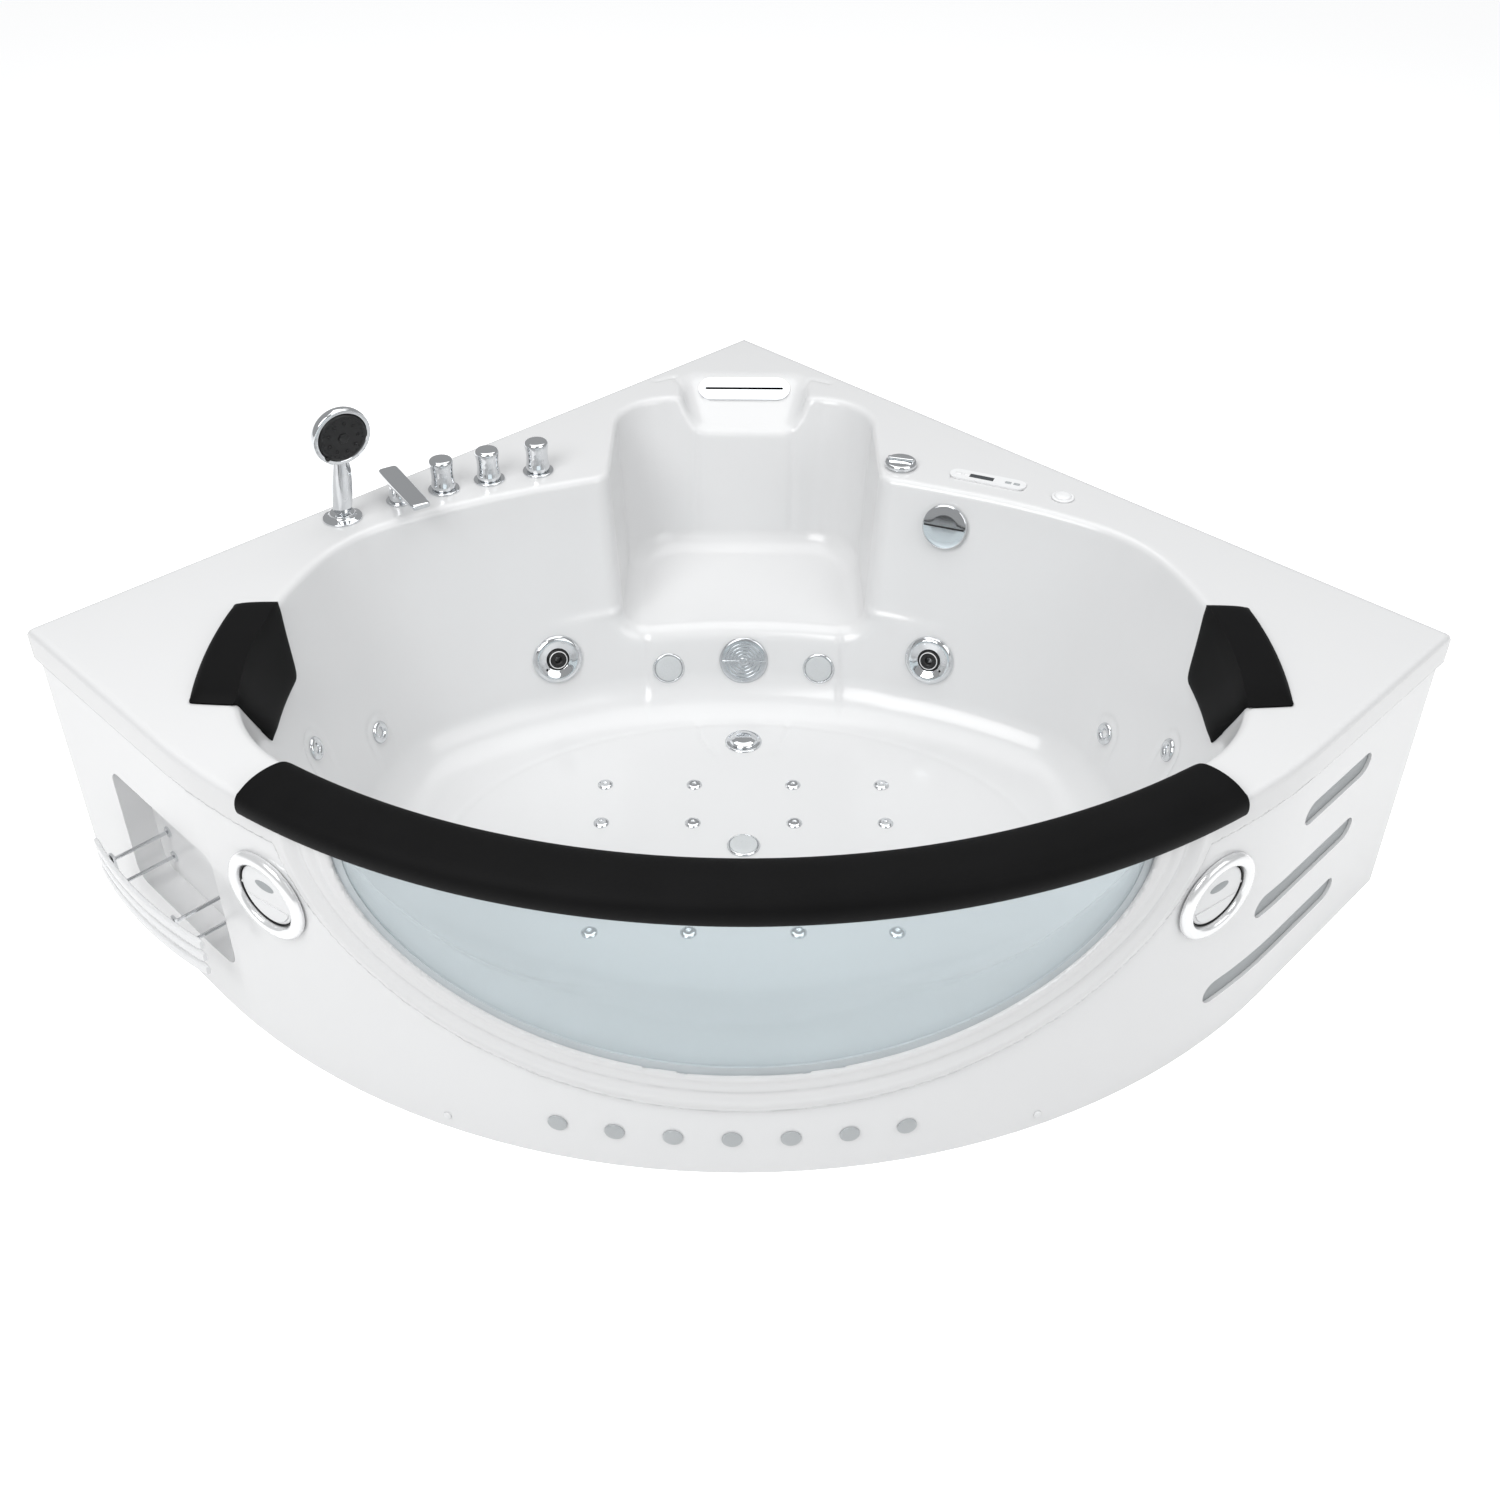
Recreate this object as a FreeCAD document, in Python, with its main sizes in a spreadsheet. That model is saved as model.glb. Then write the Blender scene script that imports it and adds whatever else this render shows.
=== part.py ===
import FreeCAD, Part
import math
import os

SIZES = {
    # outline and heights of the whole tub
    "wall_side": 1500.0,
    "rim_height": 500.0,
    "front_radius": 1130.0,
    "apron_height": 55.0,
    # mouldings
    "shell_wall": 6.0,
    "rim_rounding": 8.0,
    # bowl
    "floor_height": 90.0,
    "bowl_back_radius": 1026.0,
    "bowl_back_centre": -532.0,
    "bowl_side_radius": 720.0,
    "bowl_side_centre": -60.0,
    "front_deck_width": 85.0,
    "bowl_draft": 0.293,
    "bowl_corner_radius": 260.0,
    "bowl_floor_radius": 60.0,
    "bowl_floor_chamfer": 27.0,
    # seat alcove
    "seat_height": 228.0,
    "seat_half_width": 213.0,
    "seat_back": 695.0,
    "alcove_half_width": 235.0,
    "alcove_back": 785.0,
    "alcove_corner_radius": 100.0,
    "seat_radius": 30.0,
    "landing_half_width": 92.0,
    "landing_flare": 28.0,
    "landing_low_back": 776.0,
    "landing_back": 882.0,
    "landing_height": 440.0,
    # window
    "window_half_width": 508.0,
    "window_drop": 262.0,
    "window_centre": 476.0,
    "window_top": 484.0,
    "glass_thickness": 8.0,
    "seal_thickness": 3.0,
    "seal_sight": 14.0,
    "sill_fall": 0.569,
    "jamb_flare": 0.25,
    "surround_half_width": 610.0,
    "surround_drop": 343.0,
    # skirt panel and what is set in it
    "fit_gap": 0.3,
    "skirt_wall": 5.0,
    "skirt_top": 456.0,
    "skirt_lap": 15.0,
    "niche_low": 110.0,
    "niche_high": 325.0,
    "niche_near": 162.5,
    "niche_far": 444.4,
    "niche_depth": 45.0,
    "niche_corner": 25.0,
    "rack_reach": 40.0,
    "rack_bow": 15.0,
    "rack_length": 311.0,
    "rack_bar_height": 18.0,
    "rack_bar_thickness": 8.0,
    "rack_rod_radius": 3.0,
    "slot_height": 42.0,
    "vent_thickness": 3.0,
    "plinth_light_radius": 14.0,
    "plinth_light_height": 72.0,
    "plinth_light_pitch": 80.0,
    "screw_cap_radius": 6.0,
    # speaker pods
    "pod_bearing": 34.7,
    "pod_height": 332.0,
    "pod_bezel_radius": 70.0,
    "pod_cup_radius": 61.0,
    "pod_bore_radius": 51.0,
    "pod_depth": 42.0,
    "pod_proud": 12.0,
    "pod_disc_radius": 48.5,
    "pod_disc_thickness": 7.0,
    "pod_pin_radius": 3.0,
    # cushions
    "pad_inner_radius": 1046.0,
    "pad_outer_radius": 1140.0,
    "pad_crown": 22.0,
    "pad_lip": 23.0,
    "pad_sweep": 70.0,
    "headrest_edge": 778.0,
    "headrest_half_width": 131.0,
    "headrest_top_half": 116.0,
    "headrest_low_half": 78.0,
    "headrest_low": 395.0,
    "headrest_thickness": 15.0,
    "headrest_depth": 27.0,
    "headrest_round": 7.0,
    # fittings on the deck
    "fitting_circle": 1085.0,
    "stem_radius": 5.0,
    "running_gap": 0.05,
    "body_radius": 16.0,
    "body_drop": 56.0,
    "valve_flange_radius": 26.5,
    "valve_flange": 4.0,
    "knob_radius": 20.5,
    "knob_height": 55.0,
    "spout_length": 144.0,
    "spout_width": 34.0,
    "spout_thickness": 12.0,
    "spout_height": 45.0,
    "shower_lean": 12.0,
    "shower_flange_radius": 32.0,
    "shower_peg_radius": 10.0,
    "shower_grip_radius": 18.5,
    "shower_head_radius": 49.0,
    "shower_head_height": 168.0,
    "shower_face_radius": 39.5,
    "air_knob_radius": 28.0,
    "air_knob_height": 12.0,
    "panel_length": 135.0,
    "panel_width": 32.0,
    "panel_lip": 3.0,
    "key_length": 10.0,
    "key_width": 7.0,
    "button_radius": 14.5,
    "button_rim_radius": 19.5,
    "outlet_length": 175.0,
    "outlet_width": 50.0,
    "outlet_slot": 150.0,
    # fittings in the bowl
    "overflow_height": 440.0,
    "overflow_radius": 39.0,
    "wall_body_radius": 25.0,
    "wall_body_depth": 45.0,
    "large_jet_radius": 44.0,
    "large_jet_height": 205.0,
    "nozzle_radius": 19.0,
    "suction_radius": 43.5,
    "suction_height": 169.0,
    "seat_light_radius": 28.5,
    "seat_light_height": 160.0,
    "small_jet_radius": 19.0,
    "floor_jet_radius": 13.0,
    "floor_jet_body": 8.0,
    "drain_place": 258.0,
    "drain_radius": 32.0,
    "drain_bore": 20.0,
    "drain_lift": 10.0,
    "floor_light_radius": 27.0,
    # frame, feet and plumbing
    "tube": 30.0,
    "frame_low": 54.0,
    "foot_radius": 30.0,
    "foot_height": 10.0,
    "foot_rod_radius": 6.0,
    "suction_pipe_radius": 25.0,
    "pressure_pipe_radius": 16.0,
    "branch_radius": 9.0,
    "air_pipe_radius": 8.0,
    "air_pipe_height": 44.0,
    "waste_radius": 20.0,
    "overflow_pipe_radius": 17.0,
    "supply_radius": 8.0,
    "pump_place": 800.0,
    "pump_height": 165.0,
    "motor_radius": 60.0,
    "volute_radius": 75.0,
    "blower_place": -815.0,
    "blower_radius": 80.0,
}


class Dim:
    """A size with its number and the sheet expression that gives it."""

    def __init__(self, number, text):
        self.number = float(number)
        self.text = text

    def __float__(self):
        return self.number

    def __add__(self, other):
        return Dim(self.number + float(other), "(%s + %s)" % (self.text, words(other)))

    __radd__ = __add__

    def __sub__(self, other):
        return Dim(self.number - float(other), "(%s - %s)" % (self.text, words(other)))

    def __rsub__(self, other):
        return Dim(float(other) - self.number, "(%s - %s)" % (words(other), self.text))

    def __mul__(self, other):
        return Dim(self.number * float(other), "(%s * %s)" % (self.text, words(other)))

    __rmul__ = __mul__

    def __truediv__(self, other):
        return Dim(self.number / float(other), "(%s / %s)" % (self.text, words(other)))

    def __neg__(self):
        return Dim(-self.number, "(0 - %s)" % self.text)


def words(value):
    if isinstance(value, Dim):
        return value.text
    return repr(float(value))


doc = FreeCAD.newDocument("CornerTub")
sheet = doc.addObject("Spreadsheet::Sheet", "Sizes")
for row, (alias, number) in enumerate(SIZES.items(), start=1):
    sheet.set("A%d" % row, alias)
    sheet.set("B%d" % row, str(number))
    sheet.setAlias("B%d" % row, alias)
doc.recompute()


class Book:
    """The driving sizes by name."""

    def __getattr__(self, alias):
        return Dim(SIZES[alias], "Sizes.%s" % alias)


size = Book()


def bind(item, **properties):
    """Bind each property of a document object to a size."""
    for name, value in properties.items():
        if isinstance(value, Dim):
            item.setExpression(name, value.text)
        else:
            setattr(item, name, float(value))


def place(item, at=(0, 0, 0), axis=(0, 0, 1), angle=0.0):
    """Put an item at a point, turned about an axis."""
    base = FreeCAD.Vector(*[float(c) for c in at])
    item.Placement = FreeCAD.Placement(base, FreeCAD.Rotation(FreeCAD.Vector(*axis), float(angle)))
    return item


def made(kind, name):
    return doc.addObject("Part::" + kind, name)


def box(name, length, width, height):
    item = made("Box", name)
    bind(item, Length=length, Width=width, Height=height)
    return item


def cylinder(name, radius, height):
    item = made("Cylinder", name)
    bind(item, Radius=radius, Height=height)
    return item


def cone(name, low_radius, high_radius, height):
    item = made("Cone", name)
    bind(item, Radius1=low_radius, Radius2=high_radius, Height=height)
    return item


def cut(name, base, tool):
    item = made("Cut", name)
    item.Base = base
    item.Tool = tool
    return item


def fuse(name, *pieces):
    item = made("MultiFuse", name)
    item.Shapes = list(pieces)
    return item


def common(name, *pieces):
    item = made("MultiCommon", name)
    item.Shapes = list(pieces)
    return item


def fillet(name, base, radius, chosen):
    """Round the edges of base for which chosen(edge) is true."""
    doc.recompute()
    item = made("Fillet", name)
    item.Base = base
    edges = [i for i, e in enumerate(base.Shape.Edges, start=1) if chosen(e)]
    item.Edges = [(i, float(radius), float(radius)) for i in edges]
    return item


# ---------------------------------------------------------------- frame of the walls
corner_distance = size.wall_side / math.sqrt(2)
front_centre = size.front_radius * math.sqrt(2) - corner_distance
WALL_TURN = 225.0


def wall_place(item, along_left, along_right, height):
    """Place an item in the frame of the two walls, from their corner."""
    turn = FreeCAD.Rotation(FreeCAD.Vector(0, 0, 1), WALL_TURN)
    corner = FreeCAD.Vector(0, float(corner_distance), 0)
    local = FreeCAD.Vector(float(along_left), float(along_right), float(height))
    item.Placement = FreeCAD.Placement(corner + turn.multVec(local), turn)
    return item


ALCOVE_START = 300.0
LANDING_START = 600.0
BAY_REACH = 300.0
OUTLINE_RUN = 160.0
OUTLINE_SLACK = 4.0
ARCH_RUNS = 24


def vertical(edge):
    ends = [v.Point for v in edge.Vertexes]
    return len(ends) == 2 and abs(ends[0].x - ends[1].x) < 1e-3 and abs(ends[0].y - ends[1].y) < 1e-3


def outline_block(name, inset, low, high, wall_inset=None):
    """The plan outline of the tub as a block: a square with one corner rounded."""
    back = inset if wall_inset is None else wall_inset
    side = size.wall_side - inset - back
    square = wall_place(box(name + "_square", side, side, high - low), back, back, low)
    doc.recompute()
    lowest = min(v.Point.y for v in square.Shape.Vertexes)
    return fillet(name, square, size.front_radius - inset,
                  lambda e: vertical(e) and e.Vertexes[0].Point.y < lowest + 1)


def corner_between(first, second, radius):
    """Centre of a corner arc that touches two circles, each (centre on Y, radius), from inside."""
    one = first[1] - radius
    two = second[1] - radius
    y = (one ** 2 - two ** 2 - first[0] ** 2 + second[0] ** 2) / (2 * (second[0] - first[0]))
    return FreeCAD.Vector(math.sqrt(one ** 2 - (y - first[0]) ** 2), y, 0)


def bowl_outline(name, inset, height, faceted=False):
    """The rounded plan outline of the bowl, set in by inset, with straight runs on the hidden side."""
    deck_edge = float(size.front_radius - size.front_deck_width)
    back = (float(size.bowl_back_centre), float(size.bowl_back_radius))
    side = (float(size.bowl_side_centre), float(size.bowl_side_radius))
    front = (float(front_centre), deck_edge)
    corner = float(size.bowl_corner_radius)
    rear_corner = corner_between(back, side, corner)
    fore_corner = corner_between(side, front, corner)
    lift = FreeCAD.Vector(0, 0, float(height))
    drawn_in = float(inset)

    def towards(centre, radius, through):
        ray = (through - centre).normalize()
        return centre + ray * (radius - drawn_in)

    def bisected(centre, radius, one, two):
        return towards(centre, radius, centre + (one - centre).normalize() + (two - centre).normalize())

    middles = [FreeCAD.Vector(0, circle[0], 0) for circle in (back, side, front)]
    ends = [towards(middles[0], back[1], rear_corner), towards(middles[1], side[1], rear_corner),
            towards(middles[1], side[1], fore_corner), towards(middles[2], front[1], fore_corner)]
    right = [(ends[0], bisected(rear_corner, corner, ends[0], ends[1]), ends[1]),
             (ends[1], bisected(middles[1], side[1], ends[1], ends[2]), ends[2]),
             (ends[2], bisected(fore_corner, corner, ends[2], ends[3]), ends[3])]

    def mirrored(point):
        return FreeCAD.Vector(-point.x, point.y, point.z)

    left = [tuple(mirrored(p) for p in reversed(arc)) for arc in reversed(right)]
    fore = (ends[3], FreeCAD.Vector(0, front[0] - front[1] + drawn_in, 0), mirrored(ends[3]))
    rear = (mirrored(ends[0]), FreeCAD.Vector(0, back[0] + back[1] - drawn_in, 0), ends[0])
    edges = [Part.Arc(*[p + lift for p in arc]).toShape() for arc in right + [fore] + left + [rear]]
    item = made("Feature", name)
    if faceted:
        corners = []
        for edge in edges:
            runs = max(2, round(edge.Length / OUTLINE_RUN))
            corners += edge.discretize(runs + 1)[:-1]
        item.Shape = Part.makePolygon(corners + corners[:1])
    else:
        item.Shape = Part.Wire(edges)
    return item


def bowl_outer(name, grow):
    """The hidden side of the bowl, in straight runs a little outside the moulding's thickness."""
    low = size.floor_height - grow
    lean = size.bowl_draft * (size.rim_height - low)
    chamfer = size.bowl_floor_chamfer
    reach = grow + OUTLINE_SLACK
    knee = low + chamfer
    walls = made("Loft", name)
    walls.Sections = [bowl_outline(name + "_floor", lean - reach + chamfer, low, True),
                      bowl_outline(name + "_knee", size.bowl_draft * (size.rim_height - knee) - reach, knee, True),
                      bowl_outline(name + "_rim", -reach, size.rim_height, True)]
    walls.Solid = True
    walls.Ruled = True
    return walls


def bowl_inner(name):
    """The bowl: walls that lean in from the rim outline to the rounded floor."""
    low = size.floor_height
    lean = size.bowl_draft * (size.rim_height - low)
    walls = made("Loft", name + "_walls")
    walls.Sections = [bowl_outline(name + "_floor", lean, low), bowl_outline(name + "_rim", 0.0, size.rim_height)]
    walls.Solid = True
    walls.Ruled = True
    doc.recompute()
    level = float(low)
    return fillet(name, walls, size.bowl_floor_radius,
                  lambda e: max(abs(p.z - level) for p in e.discretize(5)) < 0.01)


def tapered_block(name, low_half, high_half, front, low_back, high_back, low, high):
    """A block open to the front whose sides and back spread from low to high."""
    item = made("Wedge", name)
    bind(item, Xmin=-low_half, Xmax=low_half, X2min=-high_half, X2max=high_half,
         Zmin=-low_back, Zmax=-front, Z2min=-high_back, Z2max=-front, Ymin=low, Ymax=high)
    return place(item, axis=(1, 0, 0), angle=90)


def alcove_solid(name, grow, rounded):
    """The seat alcove in the corner of the walls."""
    low = size.seat_height - grow
    block = tapered_block(name + "_block", size.seat_half_width + grow, size.alcove_half_width + grow,
                          ALCOVE_START, size.seat_back + grow, size.alcove_back + grow,
                          low, size.rim_height)
    doc.recompute()
    behind = float(size.seat_back) - 1

    def back_corner(edge):
        ends = [v.Point for v in edge.Vertexes]
        return abs(ends[0].z - ends[1].z) > 100 and min(p.y for p in ends) > behind

    cornered = fillet(name + "_corners", block, size.alcove_corner_radius + grow, back_corner)
    if not rounded:
        return cornered
    doc.recompute()
    level = float(low)
    start = float(ALCOVE_START)
    return fillet(name, cornered, size.seat_radius,
                  lambda e: max(abs(v.Point.z - level) for v in e.Vertexes) < 0.01
                  and max(v.Point.y for v in e.Vertexes) > start + 1)


def landing_solid(name, grow):
    """The sloping landing of the waterfall outlet at the top of the backrest."""
    return tapered_block(name, size.landing_half_width + grow,
                         size.landing_half_width + size.landing_flare + grow, LANDING_START,
                         size.landing_low_back + grow, size.landing_back + grow,
                         size.landing_height - grow, size.rim_height)


def arch_section(name, half_width, drop, y, top, runs=None):
    """A closed arch outline across the tub: half an ellipse below, straight sides up to top."""
    centre = FreeCAD.Vector(0, float(y), float(size.window_centre))
    side = FreeCAD.Vector(float(half_width), 0, 0)
    lift = FreeCAD.Vector(0, 0, float(top) - float(size.window_centre))
    bottom = centre - FreeCAD.Vector(0, 0, float(drop))
    ellipse = Part.Ellipse(centre + side, bottom, centre)
    corners = [centre - side, centre - side + lift, centre + side + lift, centre + side]
    arc = Part.Arc(ellipse, 0, math.pi).toShape()
    item = made("Feature", name)
    if runs:
        turns = [math.pi * step / runs for step in range(runs + 1)]
        low = [centre + side * math.cos(t) - FreeCAD.Vector(0, 0, float(drop) * math.sin(t)) for t in turns]
        item.Shape = Part.makePolygon(low + corners[1:3] + low[:1])
    else:
        straight = [Part.LineSegment(p, q).toShape() for p, q in zip(corners, corners[1:])]
        item.Shape = Part.Wire([arc] + straight)
    return item


def arch_block(name, half_width, drop, top, start=-700.0, depth=700.0, runs=None):
    """The arch outline carried through the front of the tub."""
    prism = made("Extrusion", name)
    prism.Base = arch_section(name + "_section", half_width, drop, start, top, runs)
    prism.DirMode = "Custom"
    prism.Dir = FreeCAD.Vector(0, 1, 0)
    prism.LengthFwd = depth
    prism.Solid = True
    return prism


def bay_solid(name, grow, top, runs=None):
    """The window bay: it flares from the pane down to the floor of the bowl."""
    outer_y = -(size.front_radius - front_centre)
    sections = []
    for label, y in (("front", outer_y - 50), ("inner", outer_y + BAY_REACH)):
        step = y - outer_y
        sections.append(arch_section("%s_%s" % (name, label),
                                     size.window_half_width + size.jamb_flare * step + grow,
                                     size.window_drop + size.sill_fall * step + grow, y, top, runs))
    loft = made("Loft", name + "_loft")
    loft.Sections = sections
    loft.Solid = True
    loft.Ruled = True
    back_of_pane = size.shell_wall + size.seal_thickness + size.glass_thickness
    room = outline_block(name + "_room", back_of_pane, size.floor_height - grow, top)
    return common(name, loft, room)


# ---------------------------------------------------------------- shapes that many pieces use
def point(x, y, z):
    return FreeCAD.Vector(float(x), float(y), float(z))


FINE, PLAIN, COARSE = 16, 10, 6


def turned(name, sides, *profile):
    """A many-sided turned solid about its own Z axis, from (radius, height) points."""
    turns = [2 * math.pi * step / sides for step in range(sides)]
    rings = []
    for radius, height in profile:
        reach = float(radius)
        if reach < 1e-6:
            rings.append([point(0, 0, height)])
        else:
            rings.append([point(reach * math.cos(t), reach * math.sin(t), height) for t in turns])
    faces = []
    for low, high in zip(rings, rings[1:] + rings[:1]):
        if len(low) == len(high) == 1:
            continue
        if min(len(low), len(high)) == 1 and abs(low[0].z - high[0].z) < 1e-6:
            flat = low if len(high) == 1 else high
            faces.append(Part.Face(Part.makePolygon(flat + flat[:1])))
            continue
        for step in range(sides):
            corners = [ring[(step + shift) % len(ring)] for ring, shift in ((low, 0), (low, 1), (high, 1), (high, 0))
                       if len(ring) > 1 or shift == 0]
            faces.append(Part.Face(Part.makePolygon(corners + corners[:1])))
    item = made("Feature", name)
    solid = Part.Solid(Part.Shell(faces))
    item.Shape = solid if solid.Volume > 0 else solid.reversed()
    return item


def round_bar(name, radius, height, sides=None):
    """A straight round bar with few sides."""
    item = made("Prism", name)
    item.Polygon = sides or PLAIN
    bind(item, Circumradius=radius, Height=height)
    return item


def prism(name, outline, low, high):
    """A straight block from a plan outline of (x, y) points."""
    corners = [point(x, y, low) for x, y in outline]
    base = made("Feature", name + "_outline")
    base.Shape = Part.Face(Part.makePolygon(corners + corners[:1]))
    item = made("Extrusion", name)
    item.Base = base
    item.DirMode = "Custom"
    item.Dir = FreeCAD.Vector(0, 0, 1)
    item.LengthFwd = float(high) - float(low)
    return item


def bar(name, length, width, height, low=0.0):
    """A block centred on its own Z axis."""
    return place(box(name, length, width, height), (-float(length) / 2, -float(width) / 2, low))


def stadium(name, length, width, height, low=0.0):
    """A bar with round ends."""
    doc.recompute()
    block = bar(name + "_block", length, width, height, low)
    return fillet(name, block, float(width) / 2 - 0.01, vertical)


def pipe(name, radius, *route, sides=COARSE):
    """A round pipe with mitred elbows along the points of a route."""
    path = Part.makePolygon([point(*p) for p in route])
    start = point(*route[0])
    run = (point(*route[1]) - start).normalize()
    aside = run.cross(FreeCAD.Vector(0, 0, 1)) if abs(run.z) < 0.9 else FreeCAD.Vector(1, 0, 0)
    aside = aside.normalize() * float(radius)
    other = run.cross(aside)
    turns = [2 * math.pi * step / sides for step in range(sides)]
    corners = [start + aside * math.cos(t) + other * math.sin(t) for t in turns]
    item = made("Feature", name)
    item.Shape = path.makePipeShell([Part.makePolygon(corners + corners[:1])], True, False, 1)
    return item


def running_bore(radius, sides):
    """The corner radius of a many-sided bore that a shaft of this radius turns in."""
    return (radius + size.running_gap) / math.cos(math.pi / sides)


def gather(name, pieces):
    """Several separate pieces under one name."""
    item = made("Compound", name)
    item.Links = list(pieces)
    return item


def at(item, placement):
    item.Placement = placement.multiply(item.Placement)
    return item


def moved(name, item, placement):
    """The item under a new name, carried to its place."""
    return at(gather(name, [item]), placement)


def deck_spot(bearing):
    """A place on the fittings' circle of the deck, its Y axis pointing away from the bowl."""
    turn = math.radians(float(bearing))
    reach = float(size.fitting_circle)
    base = point(reach * math.sin(turn), float(size.bowl_back_centre) + reach * math.cos(turn), size.rim_height)
    return FreeCAD.Placement(base, FreeCAD.Rotation(FreeCAD.Vector(0, 0, 1), -float(bearing)))


def bowl_spot(bearing, height, centre=None, rim_radius=None, flange=0.0):
    """A place on the leaning bowl wall for a flat flange; its Z axis points into the bowl."""
    middle = centre or point(0, size.bowl_back_centre, 0)
    rim = float(size.bowl_back_radius if rim_radius is None else rim_radius)
    lean = math.atan(float(size.bowl_draft))
    reach = rim - float(size.bowl_draft) * (float(size.rim_height) - float(height))
    turn = math.radians(bearing)
    out = FreeCAD.Vector(math.sin(turn), math.cos(turn), 0)
    normal = out * -math.cos(lean) + FreeCAD.Vector(0, 0, math.sin(lean))
    across = FreeCAD.Vector(math.cos(turn), -math.sin(turn), 0)
    base = middle + out * reach + FreeCAD.Vector(0, 0, float(height))
    base += normal * (float(flange) ** 2 / (2 * reach) + 0.05)
    return FreeCAD.Placement(base, FreeCAD.Rotation(across, normal.cross(across), normal, "ZXY"))


def front_spot(bearing, height, inset):
    """A place on the round front; its Z axis points out of the tub."""
    turn = math.radians(float(bearing))
    out = FreeCAD.Vector(math.sin(turn), -math.cos(turn), 0)
    across = FreeCAD.Vector(math.cos(turn), math.sin(turn), 0)
    base = point(0, front_centre, height) + out * float(size.front_radius - inset)
    return FreeCAD.Placement(base, FreeCAD.Rotation(across, FreeCAD.Vector(0, 0, 1), out, "ZXY"))


def floor_spot(x, y):
    return FreeCAD.Placement(point(x, y, size.floor_height), FreeCAD.Rotation())


def mirrored(name, item):
    """The item's mirror image on the other side of the tub."""
    other = made("Mirroring", name)
    other.Source = item
    other.Normal = FreeCAD.Vector(1, 0, 0)
    return other


none = Dim(0.0, "0.0")
wall = size.shell_wall
gap = size.fit_gap
rim = size.rim_height
EDGE = 1.0


# ---------------------------------------------------------------- where the fittings stand
SMALL_BODY_DEPTH = 40.0
KNOBS = (("hot", -28.0), ("diverter", -23.76), ("cold", -19.2))
SPOUT_BEARING = -32.15
SHOWER_BEARING = -37.5
AIR_BEARING = 14.6
PANEL_BEARING = 22.8
BUTTON_BEARING = 29.9
OVERFLOW_BEARING = 20.1
LARGE_JET_BEARING = 20.5
SEAT_LIGHT_BEARING = 8.4
SIDE_JETS = ((87.05, 297.0), (72.1, 205.0))
FORE_JET = (106.7, 205.0)
FLOOR_JET_COLUMNS = (-235.0, -84.0, 84.0, 235.0)
FLOOR_JET_ROWS = (-213.0, -114.0, 39.0, 138.0)
FLOOR_LIGHT_PLACE = -17.0



def small_jet_places(side):
    """Three jets on one side: two on the side wall, one in the front corner."""
    middle = point(0, size.bowl_side_centre, 0)
    places = [bowl_spot(side * bearing, height, middle, size.bowl_side_radius, size.small_jet_radius)
              for bearing, height in SIDE_JETS]
    corner = corner_between((float(size.bowl_side_centre), float(size.bowl_side_radius)),
                            (float(front_centre), float(size.front_radius - size.front_deck_width)),
                            float(size.bowl_corner_radius))
    corner.x *= side
    bearing, height = FORE_JET
    places.append(bowl_spot(side * bearing, height, corner, size.bowl_corner_radius, size.small_jet_radius))
    return places


large_jet_spots = [bowl_spot(side * LARGE_JET_BEARING, size.large_jet_height, flange=size.large_jet_radius)
                   for side in (-1, 1)]
seat_light_spots = [bowl_spot(side * SEAT_LIGHT_BEARING, size.seat_light_height, flange=size.seat_light_radius)
                    for side in (-1, 1)]
small_jet_spots = small_jet_places(-1) + small_jet_places(1)
floor_jet_spots = [floor_spot(x, y) for x in FLOOR_JET_COLUMNS for y in FLOOR_JET_ROWS]
overflow_spot = bowl_spot(OVERFLOW_BEARING, size.overflow_height, flange=size.wall_body_radius + 5.0)
suction_spot = bowl_spot(0.0, size.suction_height, flange=size.suction_radius)
drain_spot = floor_spot(0.0, size.drain_place)
floor_light_spot = floor_spot(0.0, FLOOR_LIGHT_PLACE)
landing_slope = math.atan((rim - size.landing_height).number / (size.landing_back - size.landing_low_back).number)
LANDING_SHARE = 0.735
outlet_spot = FreeCAD.Placement(
    point(0, size.landing_low_back + LANDING_SHARE * (size.landing_back - size.landing_low_back),
          size.landing_height + LANDING_SHARE * (rim - size.landing_height)),
    FreeCAD.Rotation(FreeCAD.Vector(1, 0, 0), math.degrees(landing_slope)))


# ---------------------------------------------------------------- tub shell
def shell_holes():
    """What is drilled through the moulding for the fittings."""
    reach = 60.0

    def hole(name, radius, spot, sides=PLAIN):
        return at(place(round_bar(name, radius + gap, reach, sides), (0, 0, -reach / 2)), spot)

    holes = [hole("drain_hole", size.drain_bore + wall / 2 + 1.0, drain_spot),
             hole("suction_hole", size.wall_body_radius, suction_spot),
             hole("overflow_hole", size.wall_body_radius, overflow_spot),
             hole("floor_light_hole", size.floor_jet_body, floor_light_spot)]
    for spot in large_jet_spots:
        holes.append(hole("large_jet_hole", size.wall_body_radius, spot, FINE))
    for spot in seat_light_spots:
        holes.append(hole("seat_light_hole", size.body_radius, spot))
    for spot in small_jet_spots:
        holes.append(hole("small_jet_hole", size.small_jet_radius - 5.0, spot))
    for spot in floor_jet_spots:
        holes.append(hole("floor_jet_hole", size.floor_jet_body, spot, COARSE))
    for bearing in (SHOWER_BEARING, SPOUT_BEARING, AIR_BEARING, BUTTON_BEARING) + tuple(b for _, b in KNOBS):
        holes.append(hole("deck_hole", size.body_radius, deck_spot(bearing)))
    panel = bar("panel_hole", size.panel_length - 8.0, size.panel_width - 6.0, reach, -reach / 2)
    outlet = bar("outlet_hole", size.outlet_slot + 6.0, size.outlet_width - 20.0, reach, -reach / 2)
    return holes + [at(panel, deck_spot(PANEL_BEARING)), at(outlet, outlet_spot)]


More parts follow.
